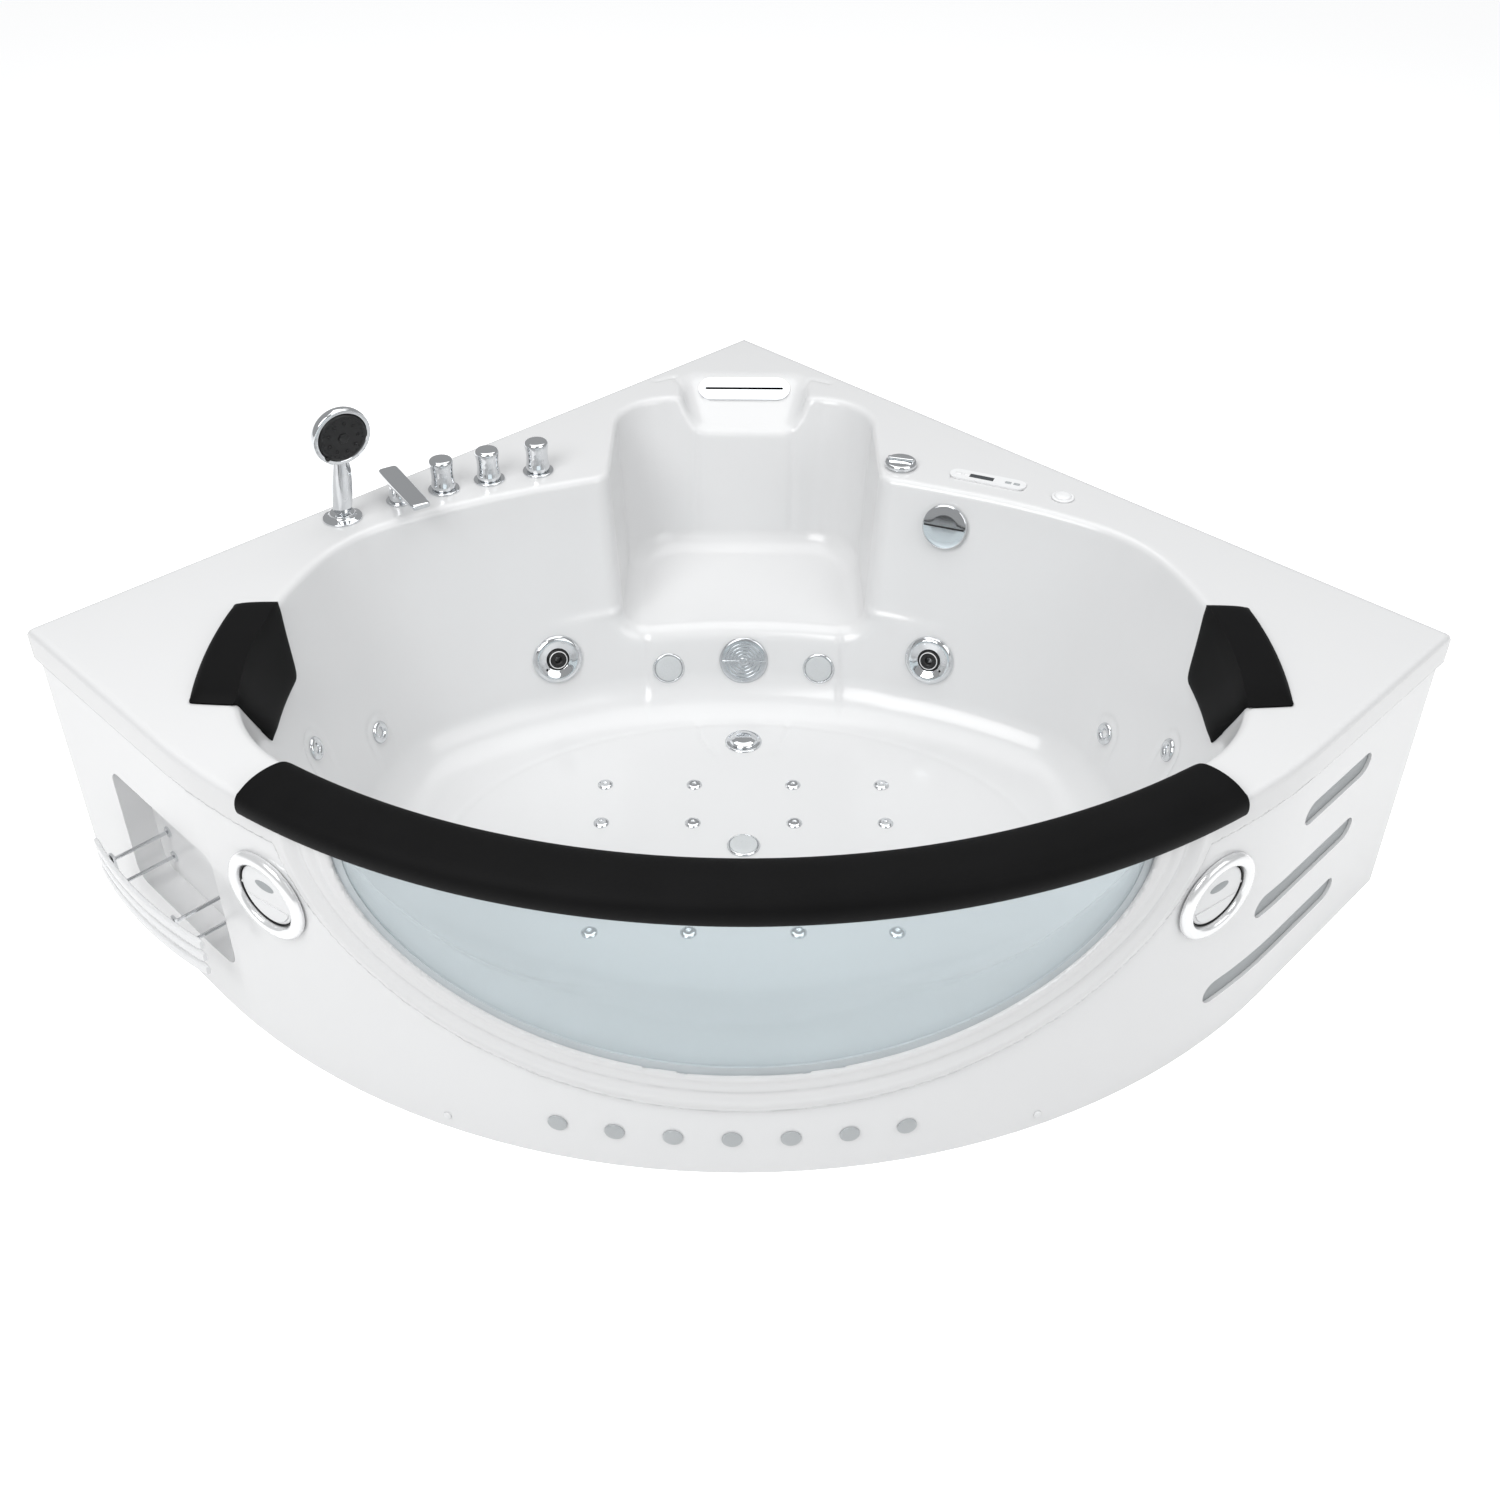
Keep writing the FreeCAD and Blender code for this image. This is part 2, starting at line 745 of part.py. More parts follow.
def tub_shell():
    """Rim, bowl, seat alcove and window surround: one acrylic moulding."""
    groove = rim - size.apron_height
    tray = cut("rim_tray", outline_block("deck_block", none, groove, rim),
               outline_block("deck_hollow", wall, groove, rim - wall))
    skin = cut("curtain_ring", outline_block("curtain_out", none, none, rim),
               outline_block("curtain_in", wall, none, rim))
    surround = common("window_surround", skin,
                      arch_block("surround_arch", size.surround_half_width, size.surround_drop, rim))
    moulding = fuse("moulding", tray, surround, bowl_outer("bowl_outer", wall),
                    alcove_solid("alcove_outer", wall, False), landing_solid("landing_outer", wall),
                    bay_solid("bay_outer", wall, rim - wall / 2, ARCH_RUNS))
    hollow = fuse("hollow", bowl_inner("bowl_inner"), alcove_solid("alcove_inner", none, True),
                  landing_solid("landing_inner", none), bay_solid("bay_inner", none, rim - wall))
    opening = common("window_opening", skin,
                     arch_block("opening_arch", size.window_half_width + size.seal_sight,
                                size.window_drop + size.seal_sight, size.window_top, depth=400.0))
    open_shell = cut("shell_open", moulding, hollow)
    glazed = cut("shell_glazed", open_shell, opening)
    return cut("tub_shell", glazed, fuse("shell_drilled", *shell_holes()))


# ---------------------------------------------------------------- window
GLASS_LAP = 52.0


def front_layer(name, outer, thickness):
    """A curved sheet that follows the front, between two insets."""
    return cut(name, outline_block(name + "_out", outer, none, rim),
               outline_block(name + "_in", outer + thickness, none, rim))


def window_parts():
    rebate_half = size.window_half_width + GLASS_LAP
    rebate_drop = size.window_drop + GLASS_LAP - 6.0
    top = rim - wall - gap
    seal_layer = front_layer("seal_layer", wall + gap / 2, size.seal_thickness - gap)
    seal_blank = common("seal_blank", seal_layer, arch_block("seal_outline", rebate_half, rebate_drop, top, runs=ARCH_RUNS))
    cut("window_seal", seal_blank,
        arch_block("seal_sight_line", size.window_half_width, size.window_drop, size.window_top))
    glass_layer = front_layer("glass_layer", wall + size.seal_thickness, size.glass_thickness - gap / 2)
    common("window_pane", glass_layer, arch_block("glass_outline", rebate_half, rebate_drop, top, runs=ARCH_RUNS))


# ---------------------------------------------------------------- skirt panel
LEFT, RIGHT = "left", "right"


def end_block(name, side, near, far, deep, out, low, high):
    """A block in an end panel: near and far along it from the wall, deep and out from its face."""
    start = size.wall_side - deep
    if side == LEFT:
        return wall_place(box(name, deep + out, far - near, high - low), start, near, low)
    return wall_place(box(name, far - near, deep + out, high - low), near, start, low)


SLOTS = ((174.5, 367.5, 333.0), (177.5, 455.5, 209.0), (187.5, 541.0, 91.0))
SLOT_DEEP = 40.0
SLOT_OUT = 20.0


def slot_block(name, near, far, low, margin, rounded):
    block = end_block(name + "_block", RIGHT, near - margin, far + margin, SLOT_DEEP, SLOT_OUT,
                      low - margin, low + size.slot_height.number + margin)
    if not rounded:
        return block
    doc.recompute()

    def end_edge(edge):
        ends = [v.Point for v in edge.Vertexes]
        along = ends[1] - ends[0]
        return abs(along.z) < 1e-3 and abs(edge.Length - SLOT_DEEP - SLOT_OUT) < 1e-3

    return fillet(name, block, size.slot_height.number / 2 - 0.01, end_edge)


def niche_block(name, grow):
    block = end_block(name + "_block", LEFT, size.niche_near - grow, size.niche_far + grow,
                      size.niche_depth + wall + grow, 30.0, size.niche_low - grow, size.niche_high + grow)
    doc.recompute()
    run = (size.niche_depth + wall + grow).number + 30.0

    def corner_edge(edge):
        ends = [v.Point for v in edge.Vertexes]
        return abs(ends[1].z - ends[0].z) < 1e-3 and abs(edge.Length - run) < 1e-3

    return fillet(name, block, size.niche_corner + grow, corner_edge)


def pod_spot(side):
    return front_spot(side * size.pod_bearing.number, size.pod_height, wall + gap)


def skirt_panel():
    """One panel round the front: cut for the window, with the rack's niche and the slots."""
    inner = wall + gap + size.skirt_wall
    beyond = -40.0
    face = outline_block("skirt_face", wall + gap, none, size.skirt_top, wall + gap)
    inside = outline_block("skirt_inside", inner, none, size.skirt_top, beyond)
    sheet_ring = cut("skirt_ring", face, inside)
    pocket = common("niche_pocket", niche_block("niche_outer", size.skirt_wall), face)
    window = arch_block("skirt_arch", size.surround_half_width - size.skirt_lap,
                        size.surround_drop - size.skirt_lap, rim)
    blank = cut("skirt_blank", fuse("skirt_fused", sheet_ring, pocket), window)
    tools = [niche_block("niche_inner", none)]
    for number, (near, far, low) in enumerate(SLOTS, start=1):
        tools.append(slot_block("slot_%d" % number, near, far, low, 0.0, True))
    for side in (-1, 1):
        cup = place(round_bar("pod_hole", size.pod_cup_radius + gap, size.pod_depth * 2, FINE), (0, 0, -size.pod_depth))
        tools.append(at(cup, pod_spot(side)))
    return cut("skirt_panel", blank, fuse("skirt_cuts", *tools))


def vent_inserts():
    """Plain dark inserts behind the slots."""
    layer = front_layer("vent_layer", wall + gap * 2 + size.skirt_wall, size.vent_thickness)
    pieces = []
    for number, (near, far, low) in enumerate(SLOTS, start=1):
        pieces.append(common("vent_%d" % number, layer,
                             slot_block("vent_block_%d" % number, near, far, low, 12.0, False)))
    gather("vent_inserts", pieces)


def plinth_details():
    """Screw caps on the skirt's foot line."""
    caps = []
    for bearing, height in ((-21.55, 26.0), (21.55, 26.0)):
        cap = turned("screw_cap", PLAIN, (0, -EDGE), (size.screw_cap_radius, -EDGE),
                     (size.screw_cap_radius, 1.0), (size.screw_cap_radius - 2.0, 2.5), (0, 2.5))
        caps.append(at(cap, front_spot(bearing, height, wall + gap - EDGE)))
    gather("skirt_screw_caps", caps)


def rack():
    """Three bowed bars on four rods in the niche."""
    near = size.niche_near.number
    far = size.niche_far.number
    middle = (near + far) / 2
    half = size.rack_length / 2
    bow = (half * half.number + size.rack_bow * size.rack_bow.number) / (2 * size.rack_bow.number)
    reach = size.wall_side.number - wall.number + size.rack_reach.number
    bars = []
    for level in (150.0, 176.0, 200.0):
        low = level - size.rack_bar_height / 2
        ring = cut("bar_ring", wall_place(cylinder("bar_out", bow + size.rack_bar_thickness, size.rack_bar_height),
                                          reach + size.rack_bow.number - bow.number, middle, low),
                   wall_place(cylinder("bar_in", bow, size.rack_bar_height),
                              reach + size.rack_bow.number - bow.number, middle, low))
        window = wall_place(box("bar_window", 60.0, size.rack_length, size.rack_bar_height),
                            reach - 10.0, middle - half.number, low)
        bars.append(common("rack_bar", ring, window))
    gather("rack_bars", bars)
    rods = []
    back = size.wall_side.number - wall.number - size.niche_depth.number
    for along in (204.5, 389.5):
        offset = along - middle
        front = reach + size.rack_bow.number - bow.number + math.sqrt(bow.number ** 2 - offset ** 2)
        strap = 4.0
        pair = [wall_place(box("rack_strap", strap, 12.0, 68.0), front - strap - 1.2, along - 6.0, 141.0)]
        for level in (150.0, 200.0):
            rod = fuse("rack_rod_solid", round_bar("rod_bar", size.rack_rod_radius, front - back - strap),
                       round_bar("rod_foot", size.rack_rod_radius * 3, 3.0))
            place(rod, axis=(0, 1, 0), angle=90)
            pair.append(wall_place(gather("rack_rod", [rod]), back, along, level))
        rods.append(fuse("rack_side", *pair))
    gather("rack_rods", rods)


# ---------------------------------------------------------------- speaker pods
def speaker_pod(side, label):
    """A bezel with a cup behind it, and a disc that tilts on two pins."""
    spot = pod_spot(side)
    cup = turned("pod_cup_" + label, FINE, (0, -size.pod_depth), (size.pod_cup_radius, -size.pod_depth),
                 (size.pod_cup_radius, size.pod_proud - 2.0), (size.pod_bore_radius, size.pod_proud - 2.0),
                 (size.pod_bore_radius, 4.0 - size.pod_depth), (0, 4.0 - size.pod_depth))
    flange = at(turned("pod_flange_" + label, FINE, (size.pod_bore_radius, -4.0), (size.pod_bezel_radius, -4.0),
                       (size.pod_bezel_radius, size.pod_proud / 2), (size.pod_bezel_radius - 5.0, size.pod_proud),
                       (size.pod_bore_radius + 4.0, size.pod_proud), (size.pod_bore_radius, size.pod_proud - 4.0)),
                spot)
    seated = cut("pod_seated_" + label, flange, outline_block("pod_back_" + label, wall, none, rim))
    pin_hole = place(round_bar("pod_pin_hole", running_bore(size.pod_pin_radius, PLAIN), 2 * size.pod_cup_radius - 6.0),
                     (3.0 - size.pod_cup_radius, 0, 0), (0, 1, 0), 90)
    bored = cut("pod_bored_" + label, fuse("pod_body_" + label, at(cup, spot), seated),
                moved("pod_pins_hole_" + label, pin_hole, spot))
    disc = turned("pod_plate_" + label, FINE, (0, -size.pod_disc_thickness / 2), (size.pod_disc_radius - 8.0, -size.pod_disc_thickness / 2),
                  (size.pod_disc_radius, 0), (size.pod_disc_radius - 1.0, size.pod_disc_thickness / 2),
                  (0, size.pod_disc_thickness / 2))
    pins = place(round_bar("pod_pin", size.pod_pin_radius, 2 * size.pod_cup_radius - 8.0),
                 (4.0 - size.pod_cup_radius, 0, 0), (0, 1, 0), 90)
    moved("speaker_disc_" + label, fuse("pod_disc_" + label, disc, pins), spot)
    return bored


# ---------------------------------------------------------------- cushions
CROWN_RUNS = 5


def front_pad():
    """The padded roll on the front rim: a crowned section swept round the front."""
    inner = size.pad_inner_radius.number
    outer = size.pad_outer_radius.number
    rest = rim.number + gap.number
    top = rim.number + size.pad_crown.number
    face = size.front_radius.number + gap.number
    low = rim.number - size.pad_lip.number

    def along(r, z):
        return FreeCAD.Vector(r, 0, z)

    middle = (inner + outer) / 2
    corners = [along(face, rest), along(inner + 3, rest), along(inner, rest + 5), along(inner + 5, rest + 14)]
    shoulder = along(outer - 8, rest + 13)
    lip = [shoulder, along(outer, rest + 2), along(outer - 1, low + 4), along(outer - 5, low), along(face, low),
           along(face, rest)]
    crown = Part.Arc(corners[-1], along(middle, top), shoulder).toShape().discretize(CROWN_RUNS + 1)
    corners += crown[1:-1] + lip
    outline = made("Feature", "pad_profile")
    outline.Shape = Part.Face(Part.makePolygon(corners))
    roll = made("Revolution", "front_pad")
    roll.Source = outline
    roll.Axis = FreeCAD.Vector(0, 0, 1)
    roll.Angle = float(size.pad_sweep)
    roll.Solid = True
    roll.Placement = FreeCAD.Placement(point(0, front_centre, 0),
                                       FreeCAD.Rotation(FreeCAD.Vector(0, 0, 1), -90 - size.pad_sweep.number / 2))


def headrest(side, label):
    """A hexagonal pad draped over the rim: flat on the deck, then down the bowl wall."""
    high = rim + gap + size.headrest_thickness
    low = size.headrest_low
    middle = size.bowl_side_centre
    lean = size.bowl_draft
    radius = size.bowl_side_radius - gap * 1.5

    def wall_cone(name, inset, top):
        foot = radius - lean * (rim - low) - inset
        item = cone(name, foot, foot + lean * (top - low), top - low)
        return place(item, (0, middle, low))

    slab = place(box("rest_slab_" + label, 260.0, 320.0, size.headrest_thickness), (550.0, -160.0, rim + gap))
    drape = fuse("rest_drape_" + label, slab, wall_cone("rest_back_" + label, none, rim + gap))
    skin = cut("rest_skin_" + label, drape, wall_cone("rest_front_" + label, size.headrest_depth, high + 1.0))
    wide = size.headrest_half_width.number
    top_half = size.headrest_top_half.number
    low_half = size.headrest_low_half.number
    start = 540.0
    shoulder = size.bowl_side_radius.number
    plan = prism("rest_plan_" + label, [(start, -wide), (shoulder, -wide), (size.headrest_edge, -top_half),
                                        (size.headrest_edge, top_half), (shoulder, wide), (start, wide)],
                 low, high)
    side_view = prism("rest_side_" + label, [(-high.number, -wide), (-rim.number, -wide), (-low.number, -low_half),
                                             (-low.number, low_half), (-rim.number, wide), (-high.number, wide)],
                      start, size.headrest_edge)
    place(side_view, axis=(0, 1, 0), angle=90)
    pad = common("rest_pad_" + label, skin, plan, side_view)
    doc.recompute()
    outer = [i for i, e in enumerate(pad.Shape.Edges, start=1) if soft_edge(e, rim.number + gap.number)]
    soft = made("Chamfer", "rest_soft_" + label)
    soft.Base = pad
    soft.Edges = [(i, float(size.headrest_round), float(size.headrest_round)) for i in outer]
    if side > 0:
        return gather("headrest_" + label, [soft])
    return mirrored("headrest_" + label, soft)


def soft_edge(edge, rest):
    """True on the edges of a headrest that its cover rounds: those of its outer face."""
    middle = edge.valueAt((edge.FirstParameter + edge.LastParameter) / 2)
    return middle.z > rest + 0.9 * size.headrest_thickness.number


# ---------------------------------------------------------------- fittings on the deck
def stem_body(label, flange_radius, flange, stem_top, drop):
    """A valve body: stem, flange on the deck, barrel through it and a nut below."""
    below = -wall
    return turned(label, PLAIN, (0, -drop), (size.body_radius + 1.0, -drop), (size.body_radius + 1.0, below - 14.0),
                  (size.body_radius + 8.0, below - 14.0), (size.body_radius + 8.0, below - gap),
                  (size.body_radius, below - gap), (size.body_radius, 0), (flange_radius, 0),
                  (flange_radius, flange - 1.0), (flange_radius - 2.0, flange), (size.stem_radius, flange),
                  (size.stem_radius, stem_top), (0, stem_top))


def valves():
    bodies = []
    for label, bearing in KNOBS:
        bodies.append(at(stem_body("valve_" + label, size.valve_flange_radius, size.valve_flange,
                                   size.knob_height - 25.0, size.body_drop), deck_spot(bearing)))
        low = size.valve_flange + gap
        top = size.valve_flange + size.knob_height
        bore = running_bore(size.stem_radius, FINE)
        at(turned("knob_" + label, FINE, (bore, low), (size.knob_radius - 1.5, low), (size.knob_radius, low + 8.0),
                  (size.knob_radius, top - 9.0), (size.knob_radius - 6.0, top), (0, top),
                  (0, size.knob_height - 25.0 + gap), (bore, size.knob_height - 25.0 + gap)), deck_spot(bearing))
    gather("valve_bodies", bodies)


def spout():
    """A flat blade spout on a tapered neck, open below its tip."""
    flange = stem_body("spout_stem", size.valve_flange_radius - 4.0, size.valve_flange, size.spout_height - 12.0,
                       size.body_drop)
    neck = turned("spout_neck", PLAIN, (0, 1.0), (size.body_radius + 1.0, 1.0),
                  (size.body_radius - 3.0, size.spout_height - 10.0), (0, size.spout_height - 10.0))
    blade = place(box("spout_blade", size.spout_width, size.spout_length, size.spout_thickness),
                  (-size.spout_width / 2, 40.0 - size.spout_length, size.spout_height - size.spout_thickness))
    doc.recompute()
    low = (size.spout_height - size.spout_thickness).number
    tapered = fillet("spout_edges", blade, 4.0, lambda e: vertical(e))
    lip = place(box("spout_lip", size.spout_width - 8.0, 16.0, size.spout_thickness / 2),
                (4.0 - size.spout_width / 2, 46.0 - size.spout_length, low - 0.01))
    body = fuse("spout_body", flange, neck, tapered)
    at(cut("spout", body, lip), deck_spot(SPOUT_BEARING))


def shower_axis():
    """The holder's bore leans towards the bowl."""
    return deck_spot(SHOWER_BEARING).multiply(
        FreeCAD.Placement(FreeCAD.Vector(0, 0, 0), FreeCAD.Rotation(FreeCAD.Vector(1, 0, 0), size.shower_lean.number)))


PEG_DEPTH = 34.0
HOLDER_HEIGHT = 12.0


def hand_shower():
    holder = at(turned("holder_body", PLAIN, (0, -size.body_drop), (size.body_radius, -size.body_drop), (size.body_radius, 0),
                       (size.shower_flange_radius, 0), (size.shower_flange_radius, 3.5),
                       (size.shower_flange_radius - 8.0, 6.0), (size.body_radius + 4.0, HOLDER_HEIGHT),
                       (0, HOLDER_HEIGHT)), deck_spot(SHOWER_BEARING))
    bore = round_bar("holder_bore", size.shower_peg_radius + size.running_gap, 90.0)
    place(bore, (0, 0, -PEG_DEPTH - EDGE))
    cut("shower_holder", holder, moved("holder_bore_leaning", bore, shower_axis()))
    foot = HOLDER_HEIGHT + 6.0
    head = size.shower_head_height
    grip = turned("shower_grip", PLAIN, (0, -PEG_DEPTH), (size.shower_peg_radius, -PEG_DEPTH), (size.shower_peg_radius, foot),
                  (size.shower_grip_radius - 3.0, foot), (size.shower_grip_radius, foot + 62.0),
                  (size.shower_grip_radius - 5.0, head - 34.0), (size.shower_grip_radius - 9.0, head - 10.0),
                  (0, head - 10.0))
    spot = shower_head_spot()
    depth = 34.0
    recess = 6.0
    shell = turned("shower_shell", FINE, (0, -depth), (size.shower_head_radius - 22.0, -depth),
                   (size.shower_head_radius - 6.0, -depth * 0.62), (size.shower_head_radius, -8.0),
                   (size.shower_head_radius - 1.0, 0), (size.shower_face_radius + 1.0, 1.0),
                   (size.shower_face_radius + 1.0, -recess), (0, -recess))
    pivot = place(round_bar("shower_pivot", size.stem_radius, recess + 1.0), (0, 0, -recess - 1.0))
    fuse("hand_shower_body", at(grip, shower_axis()), at(fuse("shower_head", shell, pivot), spot))
    bore = running_bore(size.stem_radius, FINE)
    face = turned("shower_disc", FINE, (bore, gap - recess), (size.shower_face_radius, gap - recess),
                  (size.shower_face_radius, 1.5), (size.shower_face_radius - 3.0, 3.0), (0, 3.0), (0, gap),
                  (bore, gap))
    nozzles = [face]
    for step in range(9):
        turn = math.radians(step * 40.0)
        nozzle = round_bar("shower_nozzle", 3.0, 2.0, 6)
        nozzles.append(place(nozzle, (25.0 * math.cos(turn), 25.0 * math.sin(turn), 3.0)))
    nozzles.append(place(round_bar("shower_centre", 9.0, 2.5, 6), (0, 0, 3.0)))
    tab_turn = math.radians(225.0)
    reach = size.shower_face_radius.number + 1.5
    nozzles.append(place(round_bar("shower_selector", 4.0, 2.5, COARSE), (reach * math.cos(tab_turn), reach * math.sin(tab_turn), 1.2)))
    at(fuse("hand_shower_face", *nozzles), spot)


def shower_head_spot():
    """The head faces the bowl and looks a little down."""
    turn = math.radians(SHOWER_BEARING)
    tip = math.radians(4.6)
    inward = FreeCAD.Vector(-math.sin(turn), -math.cos(turn), 0)
    normal = inward * math.cos(tip) - FreeCAD.Vector(0, 0, math.sin(tip))
    across = FreeCAD.Vector(math.cos(turn), -math.sin(turn), 0)
    stand = deck_spot(SHOWER_BEARING).Base
    base = stand + inward * 52.0 + FreeCAD.Vector(0, 0, size.shower_head_height.number)
    return FreeCAD.Placement(base, FreeCAD.Rotation(across, normal.cross(across), normal, "ZXY"))


def air_control():
    spot = deck_spot(AIR_BEARING)
    at(stem_body("air_control_body", size.air_knob_radius - 3.0, 3.0, size.air_knob_height.number - 2.0, 50.0), spot)
    low = 3.0 + gap.number
    bore = running_bore(size.stem_radius, FINE)
    cap = turned("air_cap", FINE, (bore, low), (size.air_knob_radius, low), (size.air_knob_radius, low + 5.0),
                 (size.air_knob_radius - 3.0, size.air_knob_height), (0, size.air_knob_height),
                 (0, size.air_knob_height.number - 2.0 + gap.number),
                 (bore, size.air_knob_height.number - 2.0 + gap.number))
    ridge = stadium("air_ridge", size.air_knob_radius * 1.7, 10.0, 6.0, size.air_knob_height.number - 0.5)
    moved("air_control_knob", fuse("air_knob_solid", cap, ridge), spot)


KEY_PLACES = (-52.0, -37.0, 36.0, 51.0)
DISPLAY_PLACE = -11.0
DISPLAY_LENGTH = 42.0
KEY_TRAVEL = 1.0
KEY_THICKNESS = 2.5


def control_panel():
    """A strip let into the deck, with a window for the display and four keys."""
    spot = deck_spot(PANEL_BEARING)
    strip = stadium("panel_strip", size.panel_length, size.panel_width, size.panel_lip)
    tub = bar("panel_tub", size.panel_length - 10.0, size.panel_width - 8.0, 30.0, -30.0)
    blank = fuse("panel_blank", strip, tub)
    floor = size.panel_lip.number - KEY_THICKNESS - KEY_TRAVEL
    tools = [place(bar("display_seat", DISPLAY_LENGTH + 0.4, 12.4, 5.0, 0), (DISPLAY_PLACE - DISPLAY_LENGTH / 2 - 0.2,
                                                                          -6.2, size.panel_lip.number - 1.5))]
    for number, x in enumerate(KEY_PLACES, start=1):
        slack = 2 * gap.number
        seat = box("key_seat", size.key_length + slack, size.key_width + slack, 9.0)
        tools.append(place(seat, (x - size.key_length.number / 2 - gap.number,
                                  -size.key_width.number / 2 - gap.number, floor)))
        key = box("key_block", size.key_length, size.key_width, KEY_THICKNESS + 0.6)
        place(key, (x - size.key_length.number / 2, -size.key_width.number / 2, floor + KEY_TRAVEL))
        moved("panel_key_%d" % number, key, spot)
    at(cut("control_panel_body", blank, fuse("panel_seats", *tools)), spot)
    glass = box("display_glass", DISPLAY_LENGTH, 12.0, 1.5)
    place(glass, (DISPLAY_PLACE - DISPLAY_LENGTH / 2, -6.0, size.panel_lip.number - 1.5))
    moved("control_panel_display", glass, spot)


BUTTON_TRAVEL = 3.0


def light_button():
    spot = deck_spot(BUTTON_BEARING)
    bore = size.button_radius + size.running_gap
    floor = -12.0
    at(turned("light_button_housing", PLAIN, (0, -30.0), (size.body_radius, -30.0), (size.body_radius, 0),
              (size.button_rim_radius, 0), (size.button_rim_radius, 2.0), (size.button_rim_radius - 1.5, 3.0),
              (bore, 3.0), (bore, floor), (0, floor)), spot)
    at(turned("light_button", PLAIN, (0, floor + BUTTON_TRAVEL), (size.button_radius, floor + BUTTON_TRAVEL),
              (size.button_radius, 4.5), (size.button_radius - 5.0, 7.0), (0, 7.0)), spot)


def waterfall_outlet():
    """The slot that the water falls from, with its chamber behind the moulding."""
    plate = stadium("outlet_plate", size.outlet_length, size.outlet_width, 4.0)
    chamber = bar("outlet_chamber", size.outlet_slot + 5.0, size.outlet_width - 21.0, 36.0, -36.0)
    slot = stadium("outlet_gap", size.outlet_slot, 5.0, 40.0, -30.0)
    at(cut("waterfall_outlet", fuse("outlet_blank", plate, chamber), slot), outlet_spot)


# ---------------------------------------------------------------- fittings in the bowl
def wall_body(name, radius, flange, depth, proud):
    """A fitting's body: a flange on the wall and a barrel behind it."""
    return turned(name, PLAIN, (0, -depth), (radius, -depth), (radius, 0), (flange, 0), (flange, proud), (0, proud))


def overflow():
    depth = 60.0
    at(turned("overflow_body", PLAIN, (0, -depth), (size.wall_body_radius, -depth), (size.wall_body_radius, 0),
              (size.wall_body_radius + 5.0, 0), (size.wall_body_radius + 5.0, 3.0), (size.stem_radius, 3.0),
              (size.stem_radius, 10.0), (0, 10.0)), overflow_spot)
    bore = running_bore(size.stem_radius, FINE)
    low = 3.0 + gap.number
    cap = turned("overflow_cap", FINE, (bore, low), (size.overflow_radius, low), (size.overflow_radius, low + 8.0),
                 (size.overflow_radius - 2.0, low + 10.0), (0, low + 10.0), (0, 10.0 + gap.number),
                 (bore, 10.0 + gap.number))
    slot = bar("overflow_slot", size.overflow_radius * 2 + 4.0, 3.0, 8.0, low + 7.0)
    moved("overflow_knob", cut("overflow_slotted", cap, slot), overflow_spot)


STRAINER_LOW = -34.0


def drain():
    bore = size.drain_bore
    flange = turned("drain_ring", PLAIN, (bore, 3.0), (size.drain_radius - 2.0, 3.0), (size.drain_radius, 1.5),
                    (size.drain_radius, 0), (bore + 4.0, 0), (bore + 4.0, -40.0), (bore, -40.0))
    web = bar("drain_web", bore * 2 + 2.0, 6.0, 5.0, STRAINER_LOW)
    web_across = bar("drain_web_across", 6.0, bore * 2 + 2.0, 5.0, STRAINER_LOW)
    guide = place(round_bar("drain_guide", 6.0, 12.0), (0, 0, STRAINER_LOW))
    bore_hole = place(round_bar("drain_guide_bore", 3.0 + size.running_gap, 20.0), (0, 0, STRAINER_LOW - 2.0))
    at(cut("drain_flange", fuse("drain_solid", flange, web, web_across, guide), bore_hole), drain_spot)
    low = 3.0 + gap.number
    at(turned("drain_plug", PLAIN, (0, STRAINER_LOW), (3.0, STRAINER_LOW), (3.0, low), (bore + 5.0, low),
              (bore + 5.0, low + 2.0), (bore - 2.0, low + 6.0), (0, low + 7.0)), drain_spot)


def suction():
    """The suction fitting: a domed cover slotted in rings, and its body with the elbow."""
    proud = 6.0
    seat = 1.0
    cover = turned("cover_disc", FINE, (0, seat), (size.suction_radius, seat), (size.suction_radius, seat + 2.0),
                   (size.suction_radius - 6.0, seat + proud), (0, seat + proud))
    tools = []
    for inner in (14.0, 24.0):
        ring = turned("cover_slot", FINE, (inner, -2.0), (inner + 5.0, -2.0), (inner + 5.0, 12.0), (inner, 12.0))
        spokes = [bar("cover_spoke", 90.0, 4.0, 20.0, -4.0), bar("cover_spoke_across", 4.0, 90.0, 20.0, -4.0)]
        tools.append(cut("cover_ring", ring, fuse("cover_spokes", *spokes)))
    at(cut("suction_grille", cover, fuse("cover_slots", *tools)), suction_spot)
    body = turned("suction_barrel", PLAIN, (0, -size.wall_body_depth), (size.wall_body_radius, -size.wall_body_depth),
                  (size.wall_body_radius, 0), (size.suction_radius - 6.0, 0), (size.suction_radius - 6.0, 1.0),
                  (size.wall_body_radius - 3.0, 1.0), (size.wall_body_radius - 3.0, -30.0), (0, -30.0))
    elbow = place(box("suction_elbow", SUCTION_ELBOW, SUCTION_ELBOW, SUCTION_ELBOW),
                  (-SUCTION_ELBOW / 2, SUCTION_LINE_Y - SUCTION_ELBOW / 2, SUCTION_LINE_Z - SUCTION_ELBOW / 2))
    fuse("suction_body", at(body, suction_spot), elbow)


SUCTION_ELBOW = 56.0
SUCTION_LINE_Y = 452.0
SUCTION_LINE_Z = 140.0


